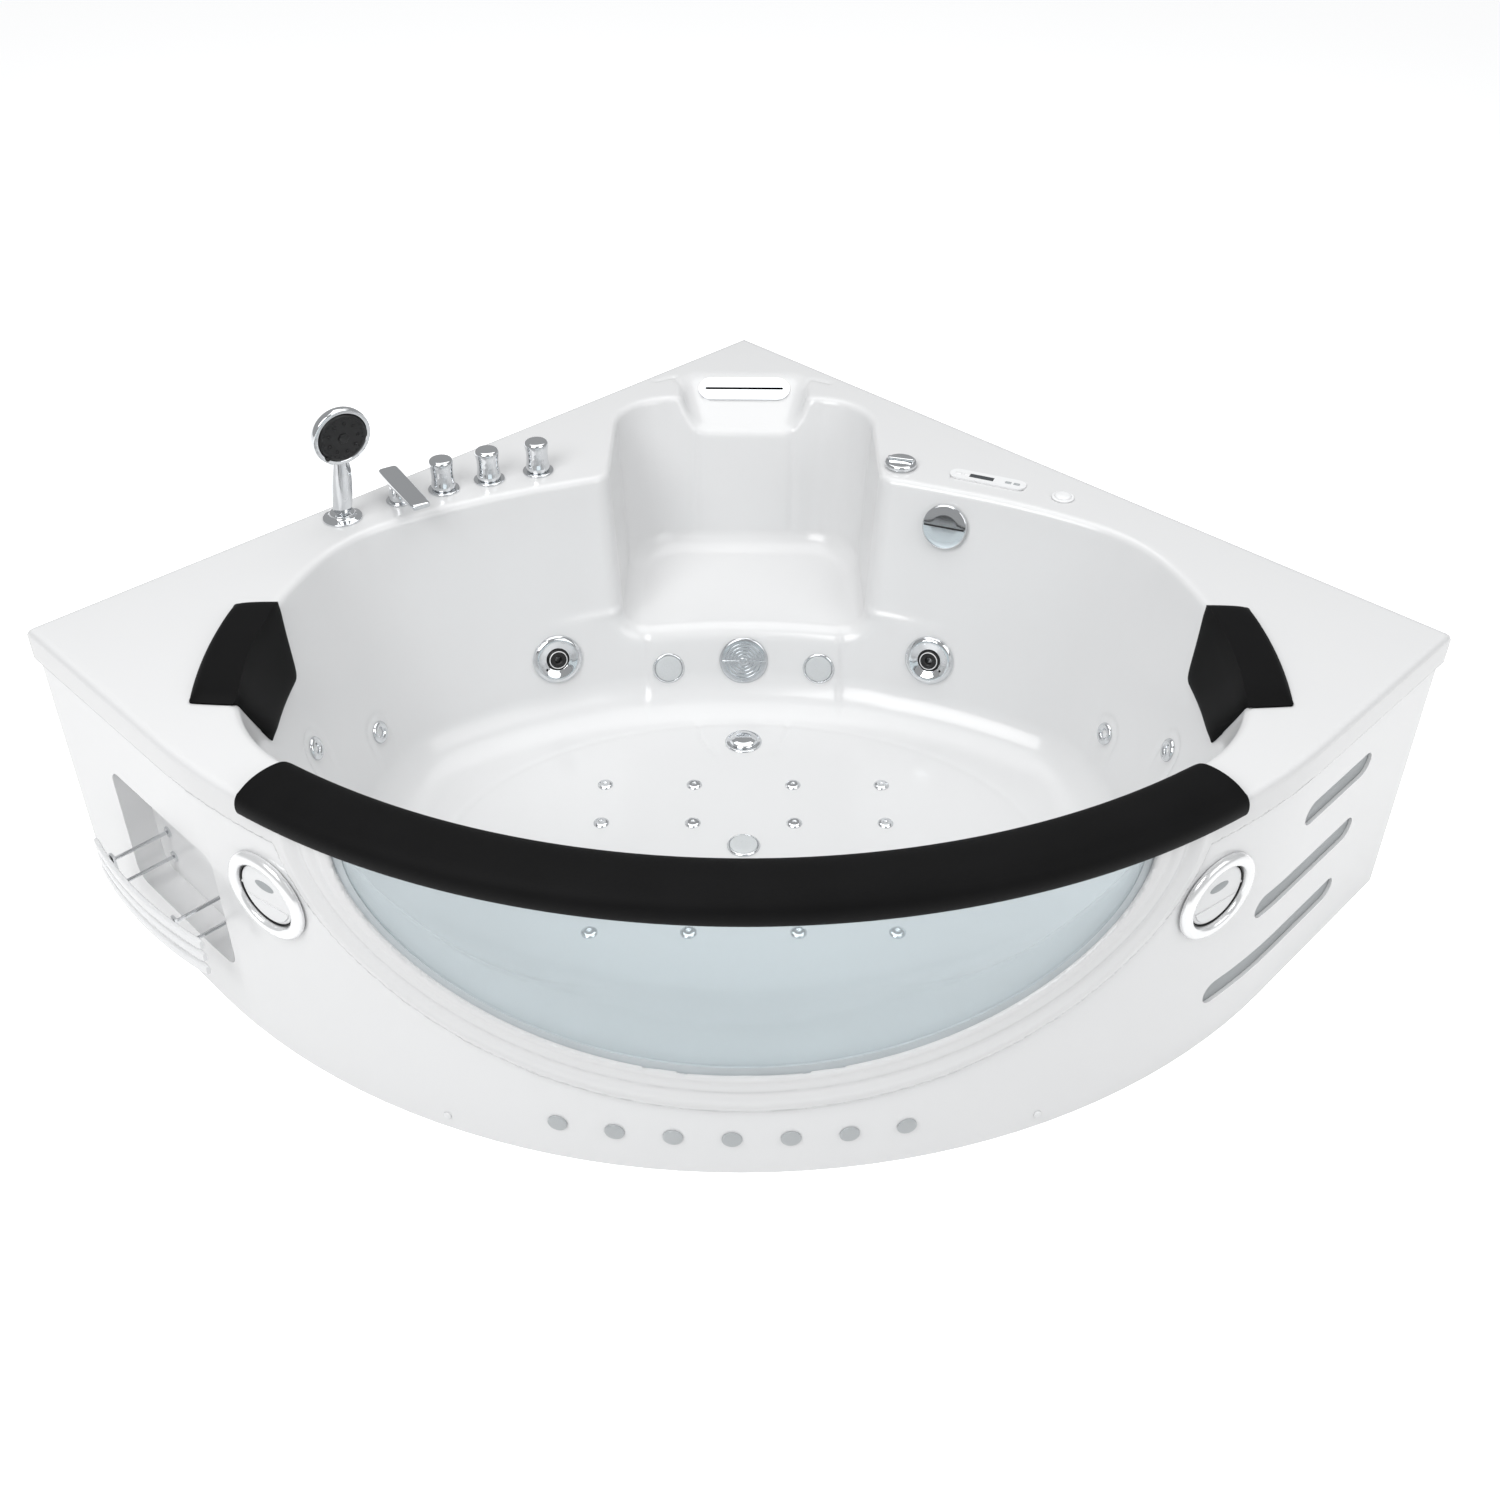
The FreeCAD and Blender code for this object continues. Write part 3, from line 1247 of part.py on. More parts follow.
def lights():
    """Lamps in the seat front and the floor, and the lenses along the plinth."""
    bodies = []
    lenses = []
    for spot in seat_light_spots:
        bodies.append(at(wall_body("seat_lamp", size.body_radius, size.seat_light_radius, 34.0, 3.0), spot))
        lens = place(round_bar("seat_lens", size.seat_light_radius - 4.0, 2.5), (0, 0, 3.0))
        lenses.append(moved("seat_lens_set", lens, spot))
    bodies.append(at(wall_body("floor_lamp", size.floor_jet_body, size.floor_light_radius, 16.0, 3.0), floor_light_spot))
    lens = place(round_bar("floor_lens", size.floor_light_radius - 4.0, 2.5), (0, 0, 3.0))
    lenses.append(moved("floor_lens_set", lens, floor_light_spot))
    pitch = math.degrees(size.plinth_light_pitch.number / size.front_radius.number)
    for step in range(-3, 4):
        lens = place(round_bar("plinth_lens", size.plinth_light_radius, 3.5), (0, 0, -EDGE))
        spot = front_spot(step * pitch - 0.8, size.plinth_light_height, wall + gap - EDGE)
        lenses.append(moved("plinth_lens_set", lens, spot))
    gather("light_housings", bodies)
    gather("light_lenses", lenses)


def jets():
    bodies = []
    for spot, label in zip(large_jet_spots, (LEFT, RIGHT)):
        rim_radius = size.large_jet_radius
        seat = running_bore(size.nozzle_radius, FINE)
        bodies.append(at(turned("large_jet_body", FINE, (0, -size.wall_body_depth), (size.wall_body_radius, -size.wall_body_depth),
                                (size.wall_body_radius, 0), (rim_radius, 0), (rim_radius, 2.0),
                                (rim_radius - 8.0, 9.0), (seat + 4.0, 7.0), (seat, 4.0), (seat, -8.0), (0, -8.0)), spot))
        at(turned("jet_nozzle_" + label, FINE, (5.0, -7.7), (size.nozzle_radius, -7.7), (size.nozzle_radius, 4.0),
                  (size.nozzle_radius - 5.0, 8.0), (8.0, 8.0), (5.0, 4.0)), spot)
    for spot in small_jet_spots:
        radius = size.small_jet_radius
        bodies.append(at(turned("small_jet_body", PLAIN, (0, -SMALL_BODY_DEPTH), (radius - 5.0, -SMALL_BODY_DEPTH), (radius - 5.0, 0), (radius, 0),
                                (radius, 2.0), (radius - 7.0, 6.0), (0, 6.0)), spot))
    gather("jet_bodies", bodies)
    floor = []
    for spot in floor_jet_spots:
        low = size.air_pipe_height + size.air_pipe_radius - size.floor_height
        floor.append(at(turned("floor_jet", COARSE, (0, low), (size.floor_jet_body, low), (size.floor_jet_body, 0),
                               (size.floor_jet_radius, 0), (size.floor_jet_radius - 3.0, 4.0), (0, 4.0)), spot))
    gather("floor_air_jets", floor)


# ---------------------------------------------------------------- frame and feet
FRONT_FEET = ((0.0, 0.0), (-470.0, -385.0), (470.0, -385.0))
CROSS_RAILS = ((-164.0, 850.0), (10.0, 970.0), (88.0, 870.0))
FRONT_RAIL = -400.0
RAIL_END = 1400.0
RAIL_INSET = 20.0
LONG_RAIL = 545.0


def foot_places():
    """Where the levelling feet stand: under the middle, the front rail and the posts on the walls."""
    middle = RAIL_INSET + size.tube.number / 2
    end = RAIL_END - size.tube.number / 2
    turn = FreeCAD.Rotation(FreeCAD.Vector(0, 0, 1), WALL_TURN)
    places = list(FRONT_FEET)
    for along_left, along_right in ((middle, middle), (end, middle), (middle, end)):
        spot = turn.multVec(FreeCAD.Vector(along_left, along_right, 0))
        places.append((spot.x, spot.y + float(corner_distance)))
    return places


def frame():
    """The welded frame of square tube that carries the moulding."""
    tube = size.tube
    low = size.frame_low
    top = low + tube
    rails = []
    for number, (y, half) in enumerate(CROSS_RAILS):
        rails.append(place(box("cross_rail_%d" % number, half * 2, tube, tube), (-half, y - tube / 2, low)))
    for side in (-1, 1):
        rails.append(place(box("long_rail", tube, 500.0, tube), (side * LONG_RAIL - tube / 2, FRONT_RAIL, low)))
    rails.append(place(box("front_rail", 2 * LONG_RAIL, tube, tube), (-LONG_RAIL, FRONT_RAIL, low)))
    start = RAIL_INSET
    far = RAIL_END
    rails.append(wall_place(box("wall_rail_left", far - start, tube, tube), start, start, low))
    rails.append(wall_place(box("wall_rail_right", tube, far - start, tube), start, start, low))
    height = rim - wall - top
    posts = ((start, start), (750.0, start), (start, 750.0), (far - tube.number, start), (start, far - tube.number))
    for along_left, along_right in posts:
        rails.append(wall_place(box("post", tube, tube, height), along_left, along_right, top))
    for side in (-1, 1):
        rails.append(place(box("front_post", tube, tube, height), (side * 780.0 - tube / 2, -164.0 - tube / 2, top)))
    strip = 12.0
    edge = start - strip
    high = rim - wall - tube
    rails.append(wall_place(box("upper_strip_left", far - edge, strip, tube), edge, edge, high))
    rails.append(wall_place(box("upper_strip_right", strip, far - edge, tube), edge, edge, high))
    lug = 44.0
    for x, y in foot_places():
        rails.append(place(box("foot_lug", lug, lug, 6.0), (x - lug / 2, y - lug / 2, low - 6.0)))
    fuse("frame_weldment", *rails)


def feet():
    pieces = []
    for x, y in foot_places():
        pad = turned("foot_pad", PLAIN, (0, 0), (size.foot_radius, 0), (size.foot_radius - 4.0, size.foot_height),
                     (0, size.foot_height))
        place(pad, (x, y, 0))
        rod = place(round_bar("foot_rod", size.foot_rod_radius, size.frame_low - 6.0 - size.foot_height),
                    (x, y, size.foot_height))
        pieces.append(fuse("foot", pad, rod))
    gather("levelling_feet", pieces)


# ---------------------------------------------------------------- water and air
PUMP_END = 150.0
PUMP_START = -130.0
RING_HEIGHT = 198.0
WASTE_END = 640.0
WASTE_SIDE = 140.0
RING = ((60.0, 502.0), (350.0, 435.0), (640.0, 250.0), (705.0, 110.0), (705.0, -170.0))


def pump():
    x = size.pump_place
    z = size.pump_height
    volute = 70.0

    def along(name, radius, start, end):
        return place(round_bar(name, radius, end - start, FINE), (x, end, z), (1, 0, 0), 90)

    base = place(box("pump_base", 120.0, 200.0, z - size.motor_radius - size.frame_low - size.tube + 20.0),
                 (x - 60.0, -110.0, size.frame_low + size.tube))
    outlet = place(round_bar("pump_outlet", size.pressure_pipe_radius + 6.0, 100.0), (x, PUMP_END - volute / 2, z))
    inlet = along("pump_inlet", size.suction_pipe_radius + 5.0, PUMP_END, PUMP_END + 15.0)
    fuse("pump", along("pump_motor", size.motor_radius, PUMP_START, PUMP_END - volute + 5.0),
         along("pump_volute", size.volute_radius, PUMP_END - volute, PUMP_END), base, outlet, inlet)


def blower():
    x = size.blower_place
    low = size.frame_low + size.tube
    drum = place(round_bar("blower_drum", size.blower_radius, 90.0, FINE), (x, 40.0, low))
    neck = place(turned("blower_neck", FINE, (0, 0), (size.blower_radius - 10.0, 0), (size.air_pipe_radius + 10.0, 30.0),
                        (0, 30.0)), (x, 40.0, low + 90.0))
    snout = place(round_bar("blower_snout", size.air_pipe_radius + 6.0, 30.0), (x, 40.0, low + 110.0))
    fuse("blower", drum, neck, snout)


def control_box():
    case = box("control_case", 70.0, 210.0, 110.0)
    doc.recompute()
    wall_place(case, RAIL_INSET, 490.0, size.frame_low + size.tube)
    fillet("control_box", case, 6.0, vertical)


def plumbing():
    """The pipes between the fittings, the pump, the blower and the waste."""
    z = SUCTION_LINE_Z
    x = size.pump_place
    pump_z = size.pump_height
    pipe("suction_pipe", size.suction_pipe_radius, (SUCTION_ELBOW / 2, SUCTION_LINE_Y, z), (300.0, SUCTION_LINE_Y, z),
         (640.0, 205.0, z), (x, 205.0, pump_z), (x, PUMP_END + 15.0, pump_z))
    ring = [(px, py, RING_HEIGHT) for px, py in RING]
    left = [(-px, py, pz) for px, py, pz in reversed(ring)]
    runs = [pipe("pressure_ring", size.pressure_pipe_radius, *(left + ring))]
    outlet_top = pump_z + 100.0
    outlet_y = PUMP_END - 35.0
    runs.append(pipe("pressure_riser", size.pressure_pipe_radius, (x, outlet_y, outlet_top),
                     (x, outlet_y, outlet_top + 30.0), (705.0, 60.0, outlet_top + 30.0), (705.0, 60.0, RING_HEIGHT)))
    targets = ((350.0, 435.0), (705.0, -30.0), (668.0, 190.0), (705.0, -168.0))
    for side, large in zip((-1, 1), large_jet_spots):
        for number, spot in enumerate([large] + small_jet_places(side)):
            depth = size.wall_body_depth.number if number == 0 else SMALL_BODY_DEPTH
            start = spot.multVec(FreeCAD.Vector(0, 0, -depth))
            bend = spot.multVec(FreeCAD.Vector(0, 0, -depth - 14.0))
            tx, ty = targets[number]
            runs.append(pipe("jet_branch", size.branch_radius, start, bend, (side * tx, ty, RING_HEIGHT)))
    fuse("pressure_pipes", *runs)
    air = size.air_pipe_height
    runs = []
    for y in FLOOR_JET_ROWS:
        runs.append(pipe("air_row", size.air_pipe_radius, (-300.0, y, air), (245.0, y, air)))
    runs.append(pipe("air_header", size.air_pipe_radius, (-300.0, FLOOR_JET_ROWS[0] - 8.0, air), (-300.0, 215.0, air)))
    snout = size.frame_low.number + size.tube.number + 140.0
    px = size.blower_place
    runs.append(pipe("air_riser", size.air_pipe_radius, (px, 40.0, snout), (px, 40.0, snout + 30.0),
                     (-760.0, 130.0, snout + 30.0), (-760.0, 130.0, air), (-300.0, 207.0, air)))
    fuse("air_pipes", *runs)
    trap_z = 27.0
    drain_y = size.drain_place.number
    trap = fuse("trap", place(round_bar("trap_bowl", 40.0, 36.0), (0, drain_y, 10.0)),
                pipe("waste_run", size.waste_radius, (0, drain_y, trap_z), (WASTE_SIDE, WASTE_END - 180.0, trap_z),
                     (WASTE_SIDE, WASTE_END - 40.0, trap_z)),
                place(cylinder("waste_spigot", size.waste_radius, 40.0), (WASTE_SIDE, WASTE_END, trap_z), (1, 0, 0), 90))
    neck = overflow_spot.multVec(FreeCAD.Vector(0, 0, -60.0))
    behind = overflow_spot.multVec(FreeCAD.Vector(0, 0, -62.0 - size.overflow_pipe_radius.number))
    fuse("waste_trap", trap, place(round_bar("trap_neck", size.drain_bore + 4.0, 4.2), (0, drain_y, 45.8)),
         pipe("overflow_pipe", size.overflow_pipe_radius, neck, behind, (behind.x, behind.y, 32.0),
              (0.0, drain_y + 60.0, 32.0)))
    pieces = []
    for bearing in (KNOBS[0][1], KNOBS[2][1]):
        foot = deck_spot(bearing).Base
        top = rim - size.body_drop
        low = 100.0
        pieces.append(fuse("supply_pipe",
                           place(round_bar("supply_run", size.supply_radius, top - low), (foot.x, foot.y, low)),
                           place(cylinder("supply_union", size.supply_radius + 4.0, 24.0), (foot.x, foot.y, low))))
    level = rim - size.body_drop + 8.0
    stations = [deck_spot(b).Base for b in (KNOBS[0][1], SPOUT_BEARING, SHOWER_BEARING)]
    for number, (first, second) in enumerate(zip(stations, stations[1:])):
        run = (second - first)
        run.z = 0
        step = run.normalize() * (size.body_radius.number + 1.0 + gap.number)
        start = point(first.x, first.y, level) + step
        end = point(second.x, second.y, level) - step
        pieces.append(pipe("mixed_run_%d" % number, size.supply_radius, start, end))
    gather("supply_pipes", pieces)


# ---------------------------------------------------------------- the whole tub
tub_shell()
window_parts()
skirt_panel()
vent_inserts()
plinth_details()
rack()
gather("speaker_bezels", [speaker_pod(-1, LEFT), speaker_pod(1, RIGHT)])
front_pad()
headrest(-1, LEFT)
headrest(1, RIGHT)
valves()
spout()
hand_shower()
air_control()
control_panel()
light_button()
waterfall_outlet()
overflow()
drain()
suction()
lights()
jets()
frame()
feet()
pump()
blower()
control_box()
plumbing()

NODES = [
    "tub_shell", "skirt_panel", "window_pane", "window_seal", "front_pad", "headrest_left", "headrest_right",
    "waterfall_outlet", "shower_holder", "hand_shower_body", "hand_shower_face", "spout", "valve_bodies",
    "knob_hot", "knob_diverter", "knob_cold", "air_control_body", "air_control_knob", "control_panel_body",
    "control_panel_display", "panel_key_1", "panel_key_2", "panel_key_3", "panel_key_4",
    "light_button_housing", "light_button", "overflow_body", "overflow_knob", "drain_flange", "drain_plug",
    "suction_grille", "suction_body", "light_housings", "light_lenses", "jet_bodies", "jet_nozzle_left",
    "jet_nozzle_right", "floor_air_jets", "skirt_screw_caps", "rack_bars", "rack_rods", "speaker_bezels",
    "speaker_disc_left", "speaker_disc_right", "vent_inserts", "frame_weldment", "levelling_feet", "pump",
    "blower", "control_box", "suction_pipe", "pressure_pipes", "air_pipes", "waste_trap", "supply_pipes",
]

doc.recompute()
failed = [item.Label for item in doc.Objects if {"Invalid", "Error"} & set(item.State)]
if failed:
    raise RuntimeError("failed to build: %s" % ", ".join(failed))
os.makedirs("parts", exist_ok=True)
for node in NODES:
    item = doc.getObject(node)
    if item.Shape.isNull() or not item.Shape.isValid() or not item.Shape.Solids:
        raise RuntimeError("%s has no valid solid" % node)
    item.Label = node
    item.Shape.exportStep("parts/%s.step" % node)
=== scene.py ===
import math

import bmesh
import bpy
import numpy as np
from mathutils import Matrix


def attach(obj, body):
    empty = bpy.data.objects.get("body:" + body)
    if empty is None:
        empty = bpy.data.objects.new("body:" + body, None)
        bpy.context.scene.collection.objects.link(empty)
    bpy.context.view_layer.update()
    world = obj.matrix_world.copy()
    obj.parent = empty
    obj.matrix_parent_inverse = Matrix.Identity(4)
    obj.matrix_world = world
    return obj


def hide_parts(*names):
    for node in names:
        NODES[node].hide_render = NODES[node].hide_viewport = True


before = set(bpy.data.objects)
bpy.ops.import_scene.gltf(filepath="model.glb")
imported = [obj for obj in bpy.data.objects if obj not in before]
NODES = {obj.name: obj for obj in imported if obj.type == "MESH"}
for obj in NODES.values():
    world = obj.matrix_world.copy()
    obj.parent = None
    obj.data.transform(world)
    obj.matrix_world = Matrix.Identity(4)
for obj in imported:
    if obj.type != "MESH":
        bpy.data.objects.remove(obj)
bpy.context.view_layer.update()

import openvdb
from mathutils import Matrix, Vector

MM = 0.001

# ------------------------------------------------------------------ the tub's own sizes, in mm
SIDE, RIM, FRONT = 1500.0, 500.0, 1130.0
CORNER = SIDE / math.sqrt(2)
FRONT_CENTRE = FRONT * math.sqrt(2) - CORNER
BACK_RADIUS, BACK_CENTRE = 1026.0, -532.0
SIDE_RADIUS, SIDE_CENTRE = 720.0, -60.0
DECK_EDGE = FRONT - 85.0
BOWL_CORNER = 260.0
DRAFT = 0.293
FLOOR = 90.0
WINDOW_CENTRE = 476.0
FITTINGS = 1085.0
SHEET = 8.0
WINDOW_HALF, WINDOW_DROP, WINDOW_FLARE, SILL_FALL = 508.0, 262.0, 0.25, 0.569
REBATE_HALF, REBATE_DROP, REBATE_DEPTH = 522.0, 276.0, 30.0
SURROUND_HALF, SURROUND_DROP = 610.0, 343.0
SEAT, SEAT_HALF, SEAT_BACK, SEAT_SPREAD, SEAT_RECLINE = 228.0, 213.0, 695.0, 22.0, 90.0
LANDING, LANDING_HALF, LANDING_BACK = 440.0, 92.0, 776.0
LANDING_SPREAD, LANDING_RUN = 28.0, 106.0
LEDGE, LEDGE_FOOT = 268.0, 262.0
SEAT_LEAN, LANDING_SIDE_LEAN, LANDING_BACK_LEAN = 0.949, 0.906, 0.4926
# half width, drop, depth (below zero where it stands proud) and width of each line round the window
WINDOW_BEADS = ((572.0, 310.0, 3.5, 6.5), (592.0, 328.0, -3.0, 8.0), (546.0, 290.0, 2.0, 5.0))
DECK_LINES = (((-169, 856), (-135, 874)), ((-135, 874), (-108, 812)), ((96, 807), (129, 869), (163, 851)))
DRAIN_LINE = ((80, 312), (74, 270), (52, 224))
FRONT_PART, SKIN_FOOT, NO_TOP, CUT_DEPTH = -150.0, 445.0, 900.0, 40.0
SHOWER_BEARING, SPOUT_BEARING = -37.5, -32.15
AIR_BEARING, PANEL_BEARING, BUTTON_BEARING = 14.6, 22.8, 29.9
SHOWER_LEAN_ANGLE, HEAD_TIP = 12.0, 4.6
POD_BEARING, POD_HEIGHT, POD_INSET, SKIN_INSET = 34.7, 332.0, 6.3, 5.3
STEM_BORE = 5.11

# ------------------------------------------------------------------ the camera fitted to the photograph
PHOTO_SIDE, PHOTO_FOCUS = 1500, 1604.1
PHOTO_CENTRE = (768.0, 678.8)
EYE = (-7.0, -1976.8, 1833.4)
PITCH_YAW_ROLL = (35.697, 1.242, 0.889)


def make_camera():
    pitch, yaw, roll = (math.radians(a) for a in PITCH_YAW_ROLL)
    level = Vector((math.sin(yaw), math.cos(yaw), 0))
    right = Vector((math.cos(yaw), -math.sin(yaw), 0))
    up = level * math.sin(pitch) + Vector((0, 0, math.cos(pitch)))
    ahead = level * math.cos(pitch) - Vector((0, 0, math.sin(pitch)))
    across = right * math.cos(roll) + up * math.sin(roll)
    above = up * math.cos(roll) - right * math.sin(roll)
    data = bpy.data.cameras.new("camera")
    data.sensor_width = 36.0
    data.lens = PHOTO_FOCUS / PHOTO_SIDE * data.sensor_width
    data.shift_x = (PHOTO_SIDE / 2 - PHOTO_CENTRE[0]) / PHOTO_SIDE
    data.shift_y = (PHOTO_CENTRE[1] - PHOTO_SIDE / 2) / PHOTO_SIDE
    data.clip_start, data.clip_end = 0.05, 60
    camera = bpy.data.objects.new("camera", data)
    bpy.context.scene.collection.objects.link(camera)
    turn = Matrix((across, above, -ahead)).transposed().to_4x4()
    camera.matrix_world = Matrix.Translation(Vector(EYE) * MM) @ turn
    bpy.context.scene.camera = camera


# ------------------------------------------------------------------ materials
def material(name, colour, rough, metal=0.0, vary=0.03, grain=0.0, scale=60.0, coat=0.0, clear=0.0, ior=1.5,
             rough_vary=0.04):
    """A moulded or plated finish: soft colour variation, uneven gloss and a fine surface grain."""
    made = bpy.data.materials.new(name)
    made.use_nodes = True
    nodes, links = made.node_tree.nodes, made.node_tree.links
    shader = nodes["Principled BSDF"]
    place = nodes.new("ShaderNodeTexCoord")
    cloud = nodes.new("ShaderNodeTexNoise")
    cloud.inputs["Scale"].default_value = scale * 0.12
    cloud.inputs["Detail"].default_value = 4.0
    links.new(place.outputs["Object"], cloud.inputs["Vector"])
    tint = nodes.new("ShaderNodeValToRGB")
    tint.color_ramp.elements[0].position = 0.3
    tint.color_ramp.elements[1].position = 0.7
    tint.color_ramp.elements[0].color = tuple(max(0.0, c * (1 - vary)) for c in colour) + (1,)
    tint.color_ramp.elements[1].color = tuple(min(1.0, c * (1 + vary)) for c in colour) + (1,)
    links.new(cloud.outputs["Fac"], tint.inputs["Fac"])
    links.new(tint.outputs["Color"], shader.inputs["Base Color"])
    gloss = nodes.new("ShaderNodeMapRange")
    gloss.inputs["To Min"].default_value = max(0.0, rough - rough_vary)
    gloss.inputs["To Max"].default_value = min(1.0, rough + rough_vary)
    links.new(cloud.outputs["Fac"], gloss.inputs["Value"])
    links.new(gloss.outputs["Result"], shader.inputs["Roughness"])
    if grain:
        fine = nodes.new("ShaderNodeTexNoise")
        fine.inputs["Scale"].default_value = scale * 8
        fine.inputs["Detail"].default_value = 3.0
        links.new(place.outputs["Object"], fine.inputs["Vector"])
        bump = nodes.new("ShaderNodeBump")
        bump.inputs["Strength"].default_value = grain
        bump.inputs["Distance"].default_value = 0.0005
        links.new(fine.outputs["Fac"], bump.inputs["Height"])
        links.new(bump.outputs["Normal"], shader.inputs["Normal"])
    shader.inputs["Metallic"].default_value = metal
    shader.inputs["IOR"].default_value = ior
    shader.inputs["Coat Weight"].default_value = coat
    shader.inputs["Transmission Weight"].default_value = clear
    return made


ACRYLIC = material("acrylic_white", (0.69, 0.692, 0.695), 0.2, vary=0.006, grain=0.04, scale=14, coat=0.1)
SKIRT = material("acrylic_skirt", (0.755, 0.758, 0.762), 0.22, vary=0.008, grain=0.05, scale=16, coat=0.15)
GLASS = material("window_glass", (0.78, 0.855, 0.885), 0.03, vary=0.01, scale=8, clear=0.93, ior=1.2,
                 rough_vary=0.01)
SEAL = material("seal_grey", (0.46, 0.50, 0.52), 0.45, vary=0.05, grain=0.15)
CUSHION = material("cushion_black", (0.0028, 0.0028, 0.003), 0.62, vary=0.25, grain=0.4, scale=120, ior=1.2)
CHROME = material("chrome", (0.72, 0.735, 0.75), 0.07, metal=1.0, grain=0.01, scale=30, rough_vary=0.03)
SATIN = material("chrome_satin", (0.62, 0.64, 0.66), 0.22, metal=1.0, vary=0.05, grain=0.04, scale=50)
PEARL = material("bezel_pearl", (0.80, 0.805, 0.81), 0.16, metal=0.45, vary=0.02, grain=0.02, scale=40)
BLACK = material("black_moulding", (0.004, 0.004, 0.0045), 0.42, vary=0.2, grain=0.3, scale=90)
WHITE = material("white_moulding", (0.78, 0.785, 0.79), 0.25, vary=0.015, grain=0.08, scale=70)
GREY = material("grey_moulding", (0.34, 0.36, 0.37), 0.5, vary=0.08, grain=0.3, scale=90)
DISPLAY = material("display_dark", (0.03, 0.035, 0.04), 0.08, vary=0.2, scale=40, coat=0.5)
LENS = material("lens_frosted", (0.55, 0.57, 0.58), 0.35, vary=0.05, grain=0.25, scale=60, coat=0.3)
PLINTH_LENS = material("lens_grey", (0.40, 0.42, 0.43), 0.3, vary=0.06, grain=0.2, scale=60, coat=0.3)
STEEL = material("frame_steel", (0.42, 0.45, 0.47), 0.42, metal=0.6, vary=0.12, grain=0.3, scale=30)
BRASS = material("brass", (0.68, 0.52, 0.26), 0.32, metal=1.0, vary=0.1, grain=0.15, scale=60)
PIPE = material("pipe_pvc", (0.70, 0.71, 0.70), 0.34, vary=0.04, grain=0.1, scale=40)
RUBBER = material("rubber_foot", (0.03, 0.03, 0.032), 0.7, vary=0.3, grain=0.5, scale=120)
MOTOR = material("motor_black", (0.03, 0.032, 0.036), 0.5, vary=0.25, grain=0.5, scale=60)

CAD_MATERIALS = {
    "skirt_panel": SKIRT, "window_pane": GLASS, "window_seal": SEAL, "vent_inserts": GREY,
    "frame_weldment": STEEL, "levelling_feet": RUBBER, "pump": MOTOR, "blower": MOTOR, "control_box": GREY,
    "suction_pipe": PIPE, "pressure_pipes": PIPE, "air_pipes": PIPE, "waste_trap": PIPE,
    "supply_pipes": BRASS, "suction_body": WHITE, "waterfall_outlet": CHROME,
    "control_panel_body": WHITE, "control_panel_display": DISPLAY, "rack_rods": CHROME,
}


def dress_cad():
    for name, node in NODES.items():
        node.data.materials.clear()
        node.data.materials.append(CAD_MATERIALS.get(name, WHITE))
        smooth(node)


def smooth(item, angle=35):
    for face in item.data.polygons:
        face.use_smooth = True
    group = item.modifiers.new("weld", "WELD")
    group.merge_threshold = 0.00001
    sharp_edges(item, angle)


def sharp_edges(item, angle):
    """Splits the shading at edges sharper than angle."""
    split = item.modifiers.new("edge_split", "EDGE_SPLIT")
    split.split_angle = math.radians(angle)
    split.use_edge_sharp = False


# ------------------------------------------------------------------ places
def spot(base, across, along, out):
    turn = Matrix((Vector(across), Vector(along), Vector(out))).transposed().to_4x4()
    return Matrix.Translation(Vector(base)) @ turn


def deck_spot(bearing, height=RIM):
    turn = math.radians(bearing)
    base = (FITTINGS * math.sin(turn), BACK_CENTRE + FITTINGS * math.cos(turn), height)
    return spot(base, (math.cos(turn), -math.sin(turn), 0), (math.sin(turn), math.cos(turn), 0), (0, 0, 1))


def wall_spot(bearing, height, flange, centre=(0, BACK_CENTRE), radius=BACK_RADIUS):
    """A place on the leaning bowl wall; its Z axis points into the bowl."""
    lean = math.atan(DRAFT)
    reach = radius - DRAFT * (RIM - height)
    turn = math.radians(bearing)
    out = Vector((math.sin(turn), math.cos(turn), 0))
    normal = out * -math.cos(lean) + Vector((0, 0, math.sin(lean)))
    across = Vector((math.cos(turn), -math.sin(turn), 0))
    base = Vector((centre[0], centre[1], height)) + out * reach + normal * (flange ** 2 / (2 * reach) + 0.05)
    return spot(base, across, normal.cross(across), normal)


def front_spot(bearing, height, inset):
    turn = math.radians(bearing)
    out = Vector((math.sin(turn), -math.cos(turn), 0))
    base = Vector((0, FRONT_CENTRE, height)) + out * (FRONT - inset)
    return spot(base, (math.cos(turn), math.sin(turn), 0), (0, 0, 1), out)


def floor_spot(x, y):
    return Matrix.Translation(Vector((x, y, FLOOR)))


def corner_between(first, second, radius):
    """Centre of the corner arc that touches two circles, each (centre on Y, radius), from inside."""
    one, two = first[1] - radius, second[1] - radius
    y = (one ** 2 - two ** 2 - first[0] ** 2 + second[0] ** 2) / (2 * (second[0] - first[0]))
    return math.sqrt(one ** 2 - (y - first[0]) ** 2), y


REAR = corner_between((BACK_CENTRE, BACK_RADIUS), (SIDE_CENTRE, SIDE_RADIUS), BOWL_CORNER)
FORE = corner_between((SIDE_CENTRE, SIDE_RADIUS), (FRONT_CENTRE, DECK_EDGE), BOWL_CORNER)

